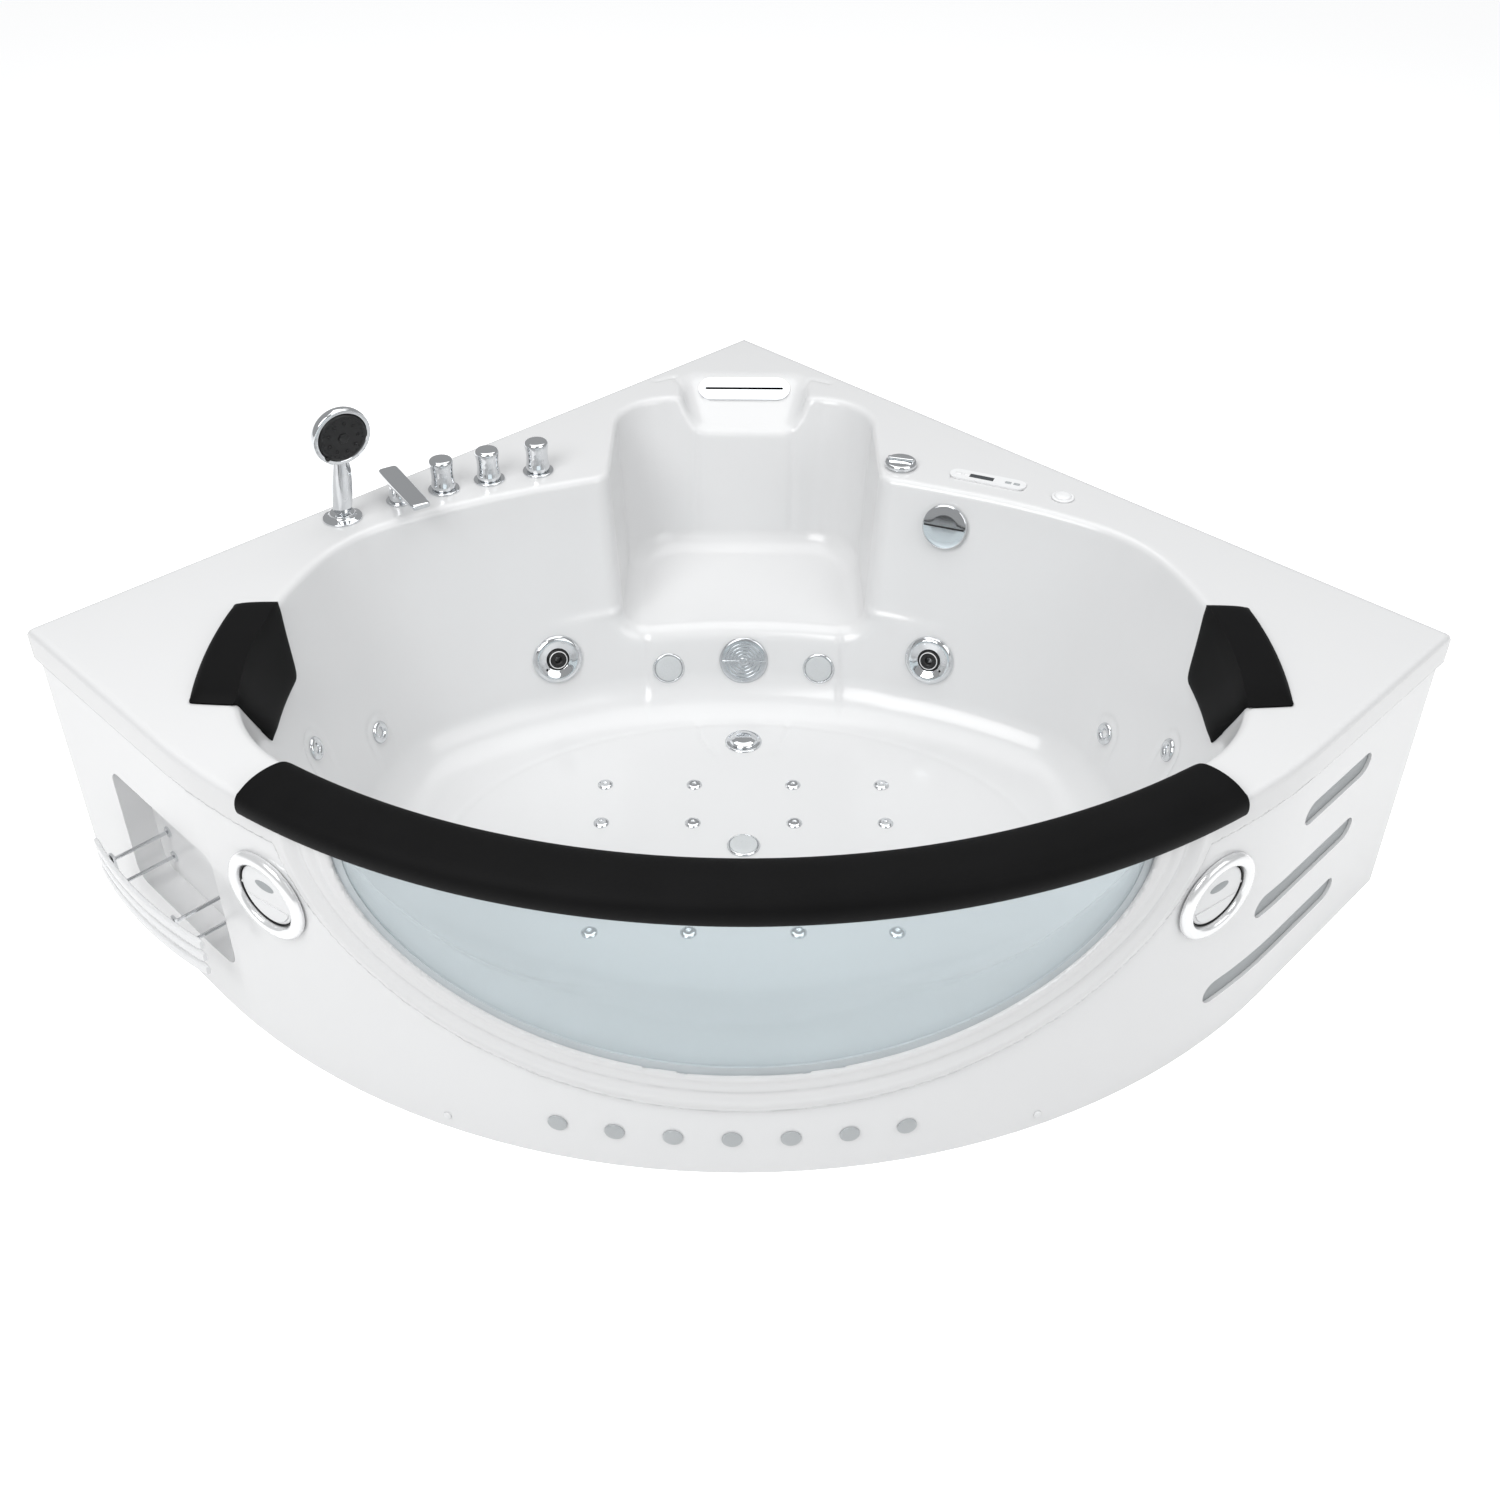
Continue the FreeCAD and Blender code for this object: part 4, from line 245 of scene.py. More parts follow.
LARGE_JETS = [wall_spot(side * 20.5, 205.0, 44.0) for side in (-1, 1)]
SEAT_LIGHTS = [wall_spot(side * 8.4, 160.0, 28.5) for side in (-1, 1)]
OVERFLOW = wall_spot(20.1, 440.0, 30.0)
SUCTION = wall_spot(0.0, 169.0, 43.5)
DRAIN = floor_spot(0, 258.0)
FLOOR_LIGHT = floor_spot(0, -17.0)
FLOOR_JETS = [floor_spot(x, y) for x in (-235.0, -84.0, 84.0, 235.0) for y in (-213.0, -114.0, 39.0, 138.0)]
SMALL_JETS = []
for side in (-1, 1):
    for bearing, height in ((87.05, 297.0), (72.1, 205.0)):
        SMALL_JETS.append(wall_spot(side * bearing, height, 19.0, (0, SIDE_CENTRE), SIDE_RADIUS))
    SMALL_JETS.append(wall_spot(side * 106.7, 205.0, 19.0, (side * FORE[0], FORE[1]), BOWL_CORNER))
KNOBS = {"hot": -28.0, "diverter": -23.76, "cold": -19.2}
OUTLET_SHARE = 0.735
OUTLET_BASE = (0, LANDING_BACK + OUTLET_SHARE * LANDING_RUN, LANDING + OUTLET_SHARE * (RIM - LANDING))
OUTLET = Matrix.Translation(Vector(OUTLET_BASE)) @ Matrix.Rotation(
    math.atan((RIM - LANDING) / LANDING_RUN), 4, "X")


# ------------------------------------------------------------------ the moulding as a distance field
def inner_round(a, b, r):
    """Where both are negative, with the edge between them rounded."""
    return np.minimum(np.maximum(a, b), -r) + np.hypot(np.maximum(a + r, 0), np.maximum(b + r, 0))


def outer_round(a, b, r):
    """Where either is negative, with the corner between them filled."""
    return -inner_round(-a, -b, r)


def plan_distance(x, y):
    """Signed distance to the rim's outline: two wall sides and the round front."""
    s = math.sqrt(0.5)
    a = (CORNER - y - x) * s
    b = (CORNER - y + x) * s
    k = SIDE - FRONT
    arc = np.hypot(a - k, b - k) - FRONT
    square = np.maximum(np.maximum(a, b) - SIDE, -np.minimum(a, b))
    return np.where((a > k) & (b > k), arc, square)


def bowl_plan(x, y):
    """Signed distance to the bowl's outline at the rim."""
    ax = np.abs(x)
    distance = np.maximum(np.maximum(np.hypot(x, y - BACK_CENTRE) - BACK_RADIUS,
                                     np.hypot(x, y - SIDE_CENTRE) - SIDE_RADIUS),
                          np.hypot(x, y - FRONT_CENTRE) - DECK_EDGE)
    for (cx, cy), one, two in ((REAR, BACK_CENTRE, SIDE_CENTRE), (FORE, SIDE_CENTRE, FRONT_CENTRE)):
        u = Vector((cx, cy - one)).normalized()
        v = Vector((cx, cy - two)).normalized()
        det = u.x * v.y - u.y * v.x
        px, py = ax - cx, y - cy
        inside = ((px * v.y - py * v.x) / det > 0) & ((u.x * py - u.y * px) / det > 0)
        distance = np.where(inside, np.hypot(px, py) - BOWL_CORNER, distance)
    return distance


def gauss(value, width):
    """A bump that is 1 at zero."""
    return np.exp(-(value / width) ** 2)


def step_up(value, width):
    """A soft step from 0 to 1 at zero."""
    return 0.5 + 0.5 * np.tanh(value / width)


def arch(x, z, half, drop, top):
    """Signed distance to an arch outline seen from the front."""
    low = np.maximum(WINDOW_CENTRE - z, 0)
    e = np.maximum(np.hypot(x / half, low / drop), 0.05)
    slope = np.sqrt((x / half ** 2) ** 2 + (low / drop ** 2) ** 2) / e
    return np.maximum((e - 1) / np.maximum(slope, 1e-5), z - top)


def line_distance(x, y, points):
    """Plan distance to a line through the points."""
    nearest = np.full(np.shape(x), 1e6)
    for (px, py), (qx, qy) in zip(points, points[1:]):
        dx, dy = qx - px, qy - py
        along = np.clip(((x - px) * dx + (y - py) * dy) / (dx * dx + dy * dy), 0, 1)
        nearest = np.minimum(nearest, np.hypot(x - px - along * dx, y - py - along * dy))
    return nearest


def jet_traces(x, y, z):
    """The pressed line that runs over each small jet and down both its sides."""
    depth = np.zeros(np.shape(x))
    for place in SMALL_JETS:
        lx, ly, lz = seen_from(place, x, y, z)
        ring = np.hypot(lx, ly - np.clip(ly, -70, 0)) - 29
        depth = depth + 2.2 * gauss(ring, 4.5) * (np.abs(lz) < 20) * step_up(ly + 45, 18)
    return depth


def bowl_field(x, y, z, floor):
    """The drafted bowl with its belt ledge, the recess beside the seat block and its floor."""
    ax = np.abs(x)
    behind = step_up(y - 150, 25)
    ledge = 7 * step_up(z - LEDGE, 5) * behind * (1 - step_up(ax - 300, 40))
    below = 1 - step_up(z - LEDGE_FOOT, 5)
    recess = 4.5 * step_up(ax - 172, 3) * (1 - step_up(ax - 262, 26)) * below * behind
    lean = math.cos(math.atan(DRAFT))
    walls = (bowl_plan(x, y) + DRAFT * (RIM - z) - ledge - recess - jet_traces(x, y, z)) * lean
    return inner_round(walls, floor, 60.0)


def floor_field(x, y, z):
    """Below zero above the floor, with the lines beside the drain and the faint oval pressed into it."""
    oval = (np.hypot(x / 490.0, (y + 40) / 350.0) - 1) * 400
    beside = line_distance(np.abs(x), y, DRAIN_LINE)
    lines = 1.6 * gauss(beside, 4.0) + 1.3 * gauss(oval, 4.5) * step_up(y - 20, 30)
    return FLOOR - z - lines


def alcove_field(x, y, z):
    """The reclined seat alcove with its two crease lines."""
    ax = np.abs(x)
    rise = np.clip((z - SEAT) / (RIM - SEAT), -0.1, 1.1)
    half, back = SEAT_HALF + SEAT_SPREAD * rise, SEAT_BACK + SEAT_RECLINE * rise
    crease = 2.2 * gauss(ax - LANDING_HALF, 7) * step_up(z - LEDGE_FOOT, 14)
    round_back = inner_round(ax - half, (y - back - crease) * SEAT_LEAN, 100.0)
    return np.maximum(inner_round(round_back, SEAT - z, 34.0), 300 - y)


def landing_field(x, y, z):
    """The shelf above the seat, whose back slopes up to the deck."""
    climb = (z - LANDING) / (RIM - LANDING)
    sides = (np.abs(x) - LANDING_HALF - LANDING_SPREAD * climb) * LANDING_SIDE_LEAN
    slope = (y - LANDING_BACK - LANDING_RUN * climb) * LANDING_BACK_LEAN
    return np.maximum(inner_round(inner_round(sides, slope, 26.0), LANDING - z, 8.0), 600 - y)


def bay_field(x, y, z, plan):
    """The window bay, which flares from the pane down to the floor."""
    run = y + FRONT - FRONT_CENTRE
    bay = arch(x, z, WINDOW_HALF + WINDOW_FLARE * run, WINDOW_DROP + SILL_FALL * run, RIM - 6)
    return np.maximum(inner_round(bay, FLOOR - z, 30.0), np.maximum(plan + 17, y + 292.6))


def hollow(x, y, z, plan):
    """The space inside the bowl, the seat alcove, the landing and the window bay."""
    floor = floor_field(x, y, z)
    field = outer_round(bowl_field(x, y, z, floor), alcove_field(x, y, z), 24.0)
    field = outer_round(field, landing_field(x, y, z), 14.0)
    edge = np.clip(np.minimum(474 - z, z - 84) / 3, 1.5, 30.0)
    return np.maximum(outer_round(field, bay_field(x, y, z, plan), edge), floor)


def seen_from(place, x, y, z):
    """The points in the place's own axes."""
    back = place.inverted()
    return [back[i][0] * x + back[i][1] * y + back[i][2] * z + back[i][3] for i in range(3)]


def bore(x, y, z, place, radius):
    """Signed distance to a round hole cut square to the place."""
    lx, ly, lz = seen_from(place, x, y, z)
    return np.maximum(np.hypot(lx, ly) - radius, np.abs(lz) - CUT_DEPTH)


def slit(x, y, z, place, half_length, half_width):
    """Signed distance to a slot cut square to the place."""
    lx, ly, lz = seen_from(place, x, y, z)
    return np.maximum(np.maximum(np.abs(lx) - half_length, np.abs(ly) - half_width), np.abs(lz) - CUT_DEPTH)


HOLES = [(DRAIN, 27.0), (OVERFLOW, 26.0), (SUCTION, 26.0)] + [(place, 26.0) for place in LARGE_JETS] + \
        [(deck_spot(b), 17.0) for b in (SHOWER_BEARING, AIR_BEARING, BUTTON_BEARING)]
SLOTS = [(deck_spot(PANEL_BEARING), 63.8, 13.3), (OUTLET, 78.0, 15.0)]


def shell_field(x, y, z):
    """Signed distance to the moulding: a sheet that follows the deck, the hollow and the rim."""
    plan = plan_distance(x, y)
    inside = hollow(x, y, z, plan)
    pressed = sum(1.8 * gauss(line_distance(x, y, line), 4.0) for line in DECK_LINES)
    solid = inner_round(z - RIM + pressed, -inside, 9.0)
    bead = sum(depth * gauss(arch(x, z, half, drop, NO_TOP), width)
               for half, drop, depth, width in WINDOW_BEADS)
    front = (y < FRONT_PART) & (z < 480)
    solid = inner_round(solid, plan + np.where(front, bead, 0.0), 10.0)
    sheet = np.abs(solid + SHEET / 2) - SHEET / 2
    around = np.maximum(arch(x, z, SURROUND_HALF, SURROUND_DROP, NO_TOP), y - FRONT_PART)
    skin_gone = np.minimum(np.minimum(plan + 12, SKIN_FOOT - z), around)
    sheet = np.maximum(sheet, skin_gone)
    opening = np.maximum(arch(x, z, REBATE_HALF, REBATE_DROP, 484.0),
                         np.maximum(-(plan + REBATE_DEPTH), y - FRONT_PART))
    sheet = np.maximum(sheet, -opening)
    for place, radius in HOLES:
        sheet = np.maximum(sheet, -bore(x, y, z, place, radius))
    for place, half_length, half_width in SLOTS:
        sheet = np.maximum(sheet, -slit(x, y, z, place, half_length, half_width))
    return sheet


def gradient(points):
    """The field's slope at the points, per mm."""
    steps = []
    for axis in range(3):
        shift = np.zeros(3)
        shift[axis] = 0.5
        steps.append(shell_field(*(points + shift).T) - shell_field(*(points - shift).T))
    return np.stack(steps, 1)


def tub_moulding():
    """The moulding's mesh: the field's zero surface, with its points moved onto the field itself."""
    pitch = 5.0
    low = np.array((-1080.0, -610.0, 58.7))
    count = [int(c) for c in np.ceil((np.array((1080.0, 1080.0, 516.0)) - low) / pitch)]
    xs, ys, zs = (low[i] + pitch * np.arange(count[i], dtype=np.float32) for i in range(3))
    field = np.empty(count, np.float32)
    for i in range(0, count[0], 32):
        x, y, z = np.meshgrid(xs[i:i + 32], ys, zs, indexing="ij")
        field[i:i + 32] = shell_field(x, y, z)
    np.clip(field, -3 * pitch, 3 * pitch, out=field)
    grid = openvdb.FloatGrid(3 * pitch)
    grid.copyFromArray(field)
    points, quads = grid.convertToQuads(isovalue=0.0)
    points = points.astype(np.float64) * pitch + low
    for turn in range(2):
        value = shell_field(*points.T)
        slopes = gradient(points)
        length = np.maximum(np.linalg.norm(slopes, axis=1, keepdims=True), 1e-6)
        reach = np.clip(value / np.maximum(length[:, 0], 0.3), -1.2, 1.2)
        points -= slopes / length * reach[:, None]
    mesh = bpy.data.meshes.new("tub_moulding")
    mesh.from_pydata((points * MM).tolist(), [], quads[:, ::-1].tolist())
    mesh.update()
    finish_piece(shown("tub_moulding", mesh), ACRYLIC, "tub", "acrylic", "tub_shell")


# ------------------------------------------------------------------ pieces
def shown(name, mesh):
    """A smooth-shaded object in the scene."""
    for face in mesh.polygons:
        face.use_smooth = True
    piece = bpy.data.objects.new(name, mesh)
    bpy.context.scene.collection.objects.link(piece)
    return piece


def finish_piece(piece, look, body, slot, *nodes):
    """Gives the piece its finish and its body, and hides the CAD nodes that it stands for; slot is not used.
    """
    piece.data.materials.append(look)
    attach(piece, body)
    if nodes:
        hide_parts(*nodes)


def object_from(name, bm, look, body, slot, *nodes, angle=35):
    """Makes the collected faces into a finished piece."""
    mesh = bpy.data.meshes.new(name)
    bmesh.ops.recalc_face_normals(bm, faces=bm.faces)
    bm.to_mesh(mesh)
    bm.free()
    piece = shown(name, mesh)
    finish_piece(piece, look, body, slot, *nodes)
    sharp_edges(piece, angle)
    return piece


def softened(profile, reach=1.0, steps=3):
    """The (radius, height) profile with its corners rounded."""
    out = []
    last = len(profile) - 1
    for i, (r, z) in enumerate(profile):
        if r < 1e-6 or (i in (0, last) and profile[0] != profile[last]):
            out.append((r, z))
            continue
        here = Vector((r, z))
        before = Vector(profile[i - 1]) - here
        after = Vector(profile[(i + 1) % len(profile)]) - here
        cut = min(reach, before.length * 0.45, after.length * 0.45)
        if cut < 0.05:
            out.append((r, z))
            continue
        start, end = here + before.normalized() * cut, here + after.normalized() * cut
        for k in range(steps + 1):
            t = k / steps
            p = start * (1 - t) ** 2 + here * 2 * t * (1 - t) + end * t ** 2
            out.append((p.x, p.y))
    return out


def skin_between(bm, rings):
    """Faces between neighbouring closed rings of the same count."""
    for one, two in zip(rings, rings[1:]):
        count = len(one)
        for k in range(count):
            bm.faces.new((one[k], one[(k + 1) % count], two[(k + 1) % count], two[k]))


def lathe_into(bm, profile, place, sides=64, soft=1.0):
    """Adds a turned solid about the place's Z axis, from closed (radius, height) points in mm."""
    points = softened(list(profile), soft)
    rings = []
    for r, z in points:
        if r < 1e-6:
            rings.append([bm.verts.new(place @ Vector((0, 0, z)) * MM)])
        else:
            rings.append([bm.verts.new(place @ Vector((r * math.cos(a), r * math.sin(a), z)) * MM)
                          for a in (2 * math.pi * k / sides for k in range(sides))])
    closed = profile[0][0] > 1e-6 or profile[-1][0] > 1e-6
    pairs = list(zip(rings, rings[1:])) + ([(rings[-1], rings[0])] if closed else [])
    for one, two in pairs:
        if len(one) == len(two) == 1:
            continue
        for k in range(sides):
            corners = [ring[(k + s) % len(ring)] for ring, s in ((one, 0), (one, 1), (two, 1), (two, 0))
                       if len(ring) > 1 or s == 0]
            bm.faces.new(corners)


def block_into(bm, size, place, bevel=1.0, segments=3):
    """Adds a block with rounded edges, centred on the place, in mm."""
    made = bmesh.ops.create_cube(bm, size=1.0)
    verts = made["verts"]
    for v in verts:
        v.co = Vector((v.co.x * size[0], v.co.y * size[1], v.co.z * size[2]))
    edges = list({e for v in verts for e in v.link_edges})
    if bevel:
        result = bmesh.ops.bevel(bm, geom=edges, offset=bevel, segments=segments, affect="EDGES", profile=0.5)
        verts = list({v for f in result["faces"] for v in f.verts} | {v for v in verts if v.is_valid})
    for v in verts:
        v.co = (place @ v.co) * MM


def stadium_into(bm, length, width, low, high, place, top_round=1.0, sides=14):
    """Adds a plate with round ends and a softened top edge, in mm."""
    def point(x, y, z):
        return bm.verts.new(place @ Vector((x, y, z)) * MM)

    def ring(inset, z):
        half, r = length / 2 - width / 2, width / 2 - inset
        pts = []
        for end, start in ((1, -math.pi / 2), (-1, math.pi / 2)):
            for k in range(sides + 1):
                a = start + math.pi * k / sides
                pts.append(point(end * half + r * math.cos(a), r * math.sin(a), z))
        return pts
    rings = [ring(0, low), ring(0, high - top_round), ring(top_round * 0.3, high - top_round * 0.3),
             ring(top_round, high)]
    skin_between(bm, rings)
    bm.faces.new(rings[0][::-1])
    bm.faces.new(rings[-1])


def turned_piece(name, look, body, slot, profile, places, *nodes, sides=64, soft=1.0):
    """One turned form at each of the places, as one piece."""
    bm = bmesh.new()
    for place in places:
        lathe_into(bm, profile, place, sides, soft)
    object_from(name, bm, look, body, slot, *nodes)


# ------------------------------------------------------------------ deck fittings
def stem_profile(flange_radius, flange, stem_top, drop):
    """A deck body with its flange, its nut below the deck and the stem that a knob turns on."""
    return [(0, -drop), (17, -drop), (17, -20), (24, -20), (24, -6.3), (16, -6.3), (16, 0),
            (flange_radius, 0), (flange_radius, flange - 1), (flange_radius - 2, flange),
            (5, flange), (5, stem_top), (0, stem_top)]


def taps():
    places = [deck_spot(b) for b in KNOBS.values()]
    turned_piece("valve_set", CHROME, "tub", "chrome", stem_profile(26.5, 4, 30, 56), places, "valve_bodies",
                 sides=56)
    profile = [(STEM_BORE, 4.3), (18.6, 4.3), (20.2, 6.0), (20.4, 11), (18.9, 20), (18.3, 30), (18.8, 40),
               (20.4, 49), (20.5, 54), (18.5, 57.4), (15, 58.6), (0, 59), (0, 30.3), (STEM_BORE, 30.3)]
    for label, bearing in KNOBS.items():
        turned_piece("tap_" + label, CHROME, label + "_knob", "chrome", profile, [deck_spot(bearing)],
                     "knob_" + label, sides=72, soft=1.6)


def spout_piece():
    bm = bmesh.new()
    place = deck_spot(SPOUT_BEARING)
    lathe_into(bm, stem_profile(22.5, 4, 33, 56), place, 56)
    neck = [(0, 1), (17, 1), (15.8, 12), (14.2, 24), (13, 35), (0, 35)]
    lathe_into(bm, neck, place, 56)
    rows = [(40, 15.5, 6.0), (36, 16.8, 6.0), (20, 17, 6), (-20, 17, 5.8), (-60, 16.4, 5.4), (-98, 15.4, 4.8),
            (-103.2, 14.6, 4.3), (-104, 13.6, 3.8)]
    rings = []
    for y, half, thick in rows:
        pts = []
        for k in range(24):
            a = 2 * math.pi * k / 24
            c, s = math.cos(a), math.sin(a)
            px = half * math.copysign(abs(c) ** 0.35, c)
            pz = thick * math.copysign(abs(s) ** 0.5, s)
            pts.append(bm.verts.new(place @ Vector((px, y, 39 + pz - 0.02 * (20 - y) * 0.2)) * MM))
        rings.append(pts)
    skin_between(bm, rings)
    bm.faces.new(rings[0])
    bm.faces.new(rings[-1])
    object_from("spout_blade", bm, CHROME, "tub", "chrome", "spout")


SHOWER = deck_spot(SHOWER_BEARING)
SHOWER_LEAN = SHOWER @ Matrix.Rotation(math.radians(SHOWER_LEAN_ANGLE), 4, "X")


def head_spot():
    """The middle of the spray face; its Z axis is the way the water leaves."""
    turn, tip = math.radians(SHOWER_BEARING), math.radians(HEAD_TIP)
    inward = Vector((-math.sin(turn), -math.cos(turn), 0))
    normal = inward * math.cos(tip) - Vector((0, 0, math.sin(tip)))
    across = Vector((math.cos(turn), -math.sin(turn), 0))
    base = SHOWER.translation + inward * 52 + Vector((0, 0, 168))
    return spot(base, across, normal.cross(across), normal)


def hand_shower():
    turned_piece("shower_socket", CHROME, "tub", "chrome",
                 [(0, -56), (16, -56), (16, 0), (32, 0), (32, 3.5), (24, 6.0), (20.5, 9), (20, 12), (0, 12)],
                 [SHOWER], "shower_holder", sides=64)
    bm = bmesh.new()
    grip = [(0, -34), (10, -34), (10, 18), (15.5, 18), (17.6, 50), (18.5, 80), (17.5, 100), (13.5, 134),
            (9.5, 158), (0, 158)]
    lathe_into(bm, grip, SHOWER_LEAN, 56, 2.5)
    head = head_spot()
    shell = [(0, -34), (27, -34), (36, -28), (43, -21), (47.6, -13), (49, -7), (48, 0), (40.5, 1), (40.5, -6),
             (0, -6)]
    lathe_into(bm, shell, head, 72, 2.5)
    lathe_into(bm, [(0, -7), (5, -7), (5, 0), (0, 0)], head, 24, 0.3)
    object_from("shower_handle", bm, CHROME, "hand_shower", "chromed_plastic", "hand_shower_body")
    bm = bmesh.new()
    lathe_into(bm, [(STEM_BORE, -5.7), (39.5, -5.7), (39.5, 1.5), (36.5, 3), (0, 3), (0, 0.3),
                    (STEM_BORE, 0.3)], head, 72)
    for k in range(9):
        a = math.radians(40 * k)
        nozzle = head @ Matrix.Translation(Vector((25 * math.cos(a), 25 * math.sin(a), 3)))
        lathe_into(bm, [(0, 0), (3.2, 0), (2.6, 1.7), (1.4, 2.0), (1.2, 0.8), (0, 0.8)], nozzle, 20, 0.3)
        for m in range(3):
            b = a + math.radians(13 * (m - 1))
            pin = head @ Matrix.Translation(Vector((33.5 * math.cos(b), 33.5 * math.sin(b), 3)))
            lathe_into(bm, [(0, -0.5), (1.1, -0.5), (0.8, 1.2), (0, 1.2)], pin, 10, 0.2)
    lathe_into(bm, [(0, 2.5), (9, 2.5), (9, 4.6), (7.6, 5.5), (0, 5.5)], head, 6, 0.5)
    a = math.radians(225)
    tab = head @ Matrix.Translation(Vector((41 * math.cos(a), 41 * math.sin(a), 2.4)))
    lathe_into(bm, [(0, -1.2), (4, -1.2), (4, 0.6), (3, 1.3), (0, 1.3)], tab, 24, 0.5)
    object_from("shower_spray_face", bm, BLACK, "spray_face", "black_plastic", "hand_shower_face",
                angle=40)


def air_control():
    place = deck_spot(AIR_BEARING)
    turned_piece("air_valve", CHROME, "tub", "chromed_plastic", stem_profile(25, 3, 10, 50), [place],
                 "air_control_body", sides=56)
    bm = bmesh.new()
    lathe_into(bm, [(STEM_BORE, 3.3), (28, 3.3), (28, 8), (26.5, 10.5), (24.5, 11.4), (0, 12), (0, 10.3),
                    (STEM_BORE, 10.3)], place, 72)
    stadium_into(bm, 47.6, 10, 11.2, 17.4, place, 2.2)
    object_from("air_dial", bm, CHROME, "air_knob", "chromed_plastic", "air_control_knob")


def control_panel():
    """The four keys; the strip and its display are the CAD's own."""
    place = deck_spot(PANEL_BEARING)
    low, high = 0.5, 3.6
    for number, x in enumerate((-52.0, -37.0, 36.0, 51.0), start=1):
        bm = bmesh.new()
        key = place @ Matrix.Translation(Vector((x, 0, (low + high) / 2)))
        block_into(bm, (10, 7, high - low), key, 0.6)
        object_from("key_cap_%d" % number, bm, GREY if number > 2 else WHITE, "key_%d" % number,
                    "white_plastic", "panel_key_%d" % number)


def light_button():
    place = deck_spot(BUTTON_BEARING)
    turned_piece("button_ring", WHITE, "tub", "white_plastic",
                 [(0, -30), (16, -30), (16, 0), (19.5, 0), (19.5, 2), (18, 3), (14.55, 3), (14.55, -12),
                  (0, -12)], [place], "light_button_housing", sides=56, soft=0.7)
    turned_piece("button_dome", WHITE, "light_push", "white_plastic",
                 [(0, -9), (14.5, -9), (14.5, 4.2), (12.6, 5.8), (9.5, 6.7), (5, 7), (0, 7)], [place],
                 "light_button", sides=56, soft=0.8)


# ------------------------------------------------------------------ fittings in the bowl
def overflow():
    turned_piece("overflow_barrel", SATIN, "tub", "chromed_plastic",
                 [(0, -60), (25, -60), (25, 0), (30, 0), (30, 3), (5, 3), (5, 10), (0, 10)], [OVERFLOW],
                 "overflow_body")
    bm = bmesh.new()
    lathe_into(bm, [(STEM_BORE, 3.3), (39, 3.3), (39, 11), (37.4, 13), (22, 13.3), (0, 13.3), (0, 10.3),
                    (STEM_BORE, 10.3)], OVERFLOW, 80)
    object_from("overflow_cap", bm, CHROME, "overflow_dial", "chrome", "overflow_knob")
    bm = bmesh.new()
    block_into(bm, (70, 3.2, 1.0), OVERFLOW @ Matrix.Translation(Vector((0, 0, 13.2))), 0.3)
    object_from("overflow_mark", bm, BLACK, "overflow_dial", "black_plastic")


def drain():
    bm = bmesh.new()
    lathe_into(bm, [(20, 3), (30, 3), (32, 1.5), (32, 0), (24, 0), (24, -40), (20, -40)], DRAIN, 72)
    for turn in (0, 90):
        web = DRAIN @ Matrix.Rotation(math.radians(turn), 4, "Z") @ Matrix.Translation(Vector((0, 0, -31.5)))
        for side in (-1, 1):
            block_into(bm, (17.5, 6, 5), web @ Matrix.Translation(Vector((side * 12.5, 0, 0))), 0.6)
    lathe_into(bm, [(3.08, -34), (6, -34), (6, -22), (3.08, -22)], DRAIN, 32, 0.5)
    object_from("drain_ring", bm, CHROME, "tub", "chrome", "drain_flange")
    turned_piece("drain_dome", CHROME, "plug", "chrome",
                 [(0, -34), (3, -34), (3, 3.3), (24.2, 3.3), (25, 5), (22, 7.6), (15, 9.4), (7, 10),
                  (0, 10.1)], [DRAIN], "drain_plug", soft=0.8)


def suction():
    bm = bmesh.new()
    lathe_into(bm, [(0, 1), (43.5, 1), (43.5, 2.6), (41, 4.6), (36.5, 5.4), (0, 5.4)], SUCTION, 80)
    for r in (12.5, 19.0, 25.5, 32.0):
        for start in (4, 184):
            arc_rib(bm, SUCTION, r, 1.5, start, 172, 5.2, 7.2)
    block_into(bm, (78, 3.4, 2.4), SUCTION @ Matrix.Translation(Vector((0, 0, 6.2))), 0.7)
    lathe_into(bm, [(0, 5), (7, 5), (7, 7.2), (5.6, 7.8), (0, 7.8)], SUCTION, 32, 0.6)
    object_from("suction_cover", bm, SATIN, "tub", "chromed_plastic", "suction_grille")


def arc_rib(bm, place, radius, half, start, sweep, low, high, steps=30):
    """A low rounded rib along an arc."""
    section = ((radius - half, low), (radius - half * 0.7, high - 0.3), (radius, high),
               (radius + half * 0.7, high - 0.3), (radius + half, low))
    rings = []
    for k in range(steps + 1):
        a = math.radians(start + sweep * k / steps)
        pts = []
        for r, z in section:
            pts.append(bm.verts.new(place @ Vector((r * math.cos(a), r * math.sin(a), z)) * MM))
        rings.append(pts)
    for one, two in zip(rings, rings[1:]):
        for k in range(4):
            bm.faces.new((one[k], one[k + 1], two[k + 1], two[k]))
    bm.faces.new(rings[0])
    bm.faces.new(rings[-1][::-1])


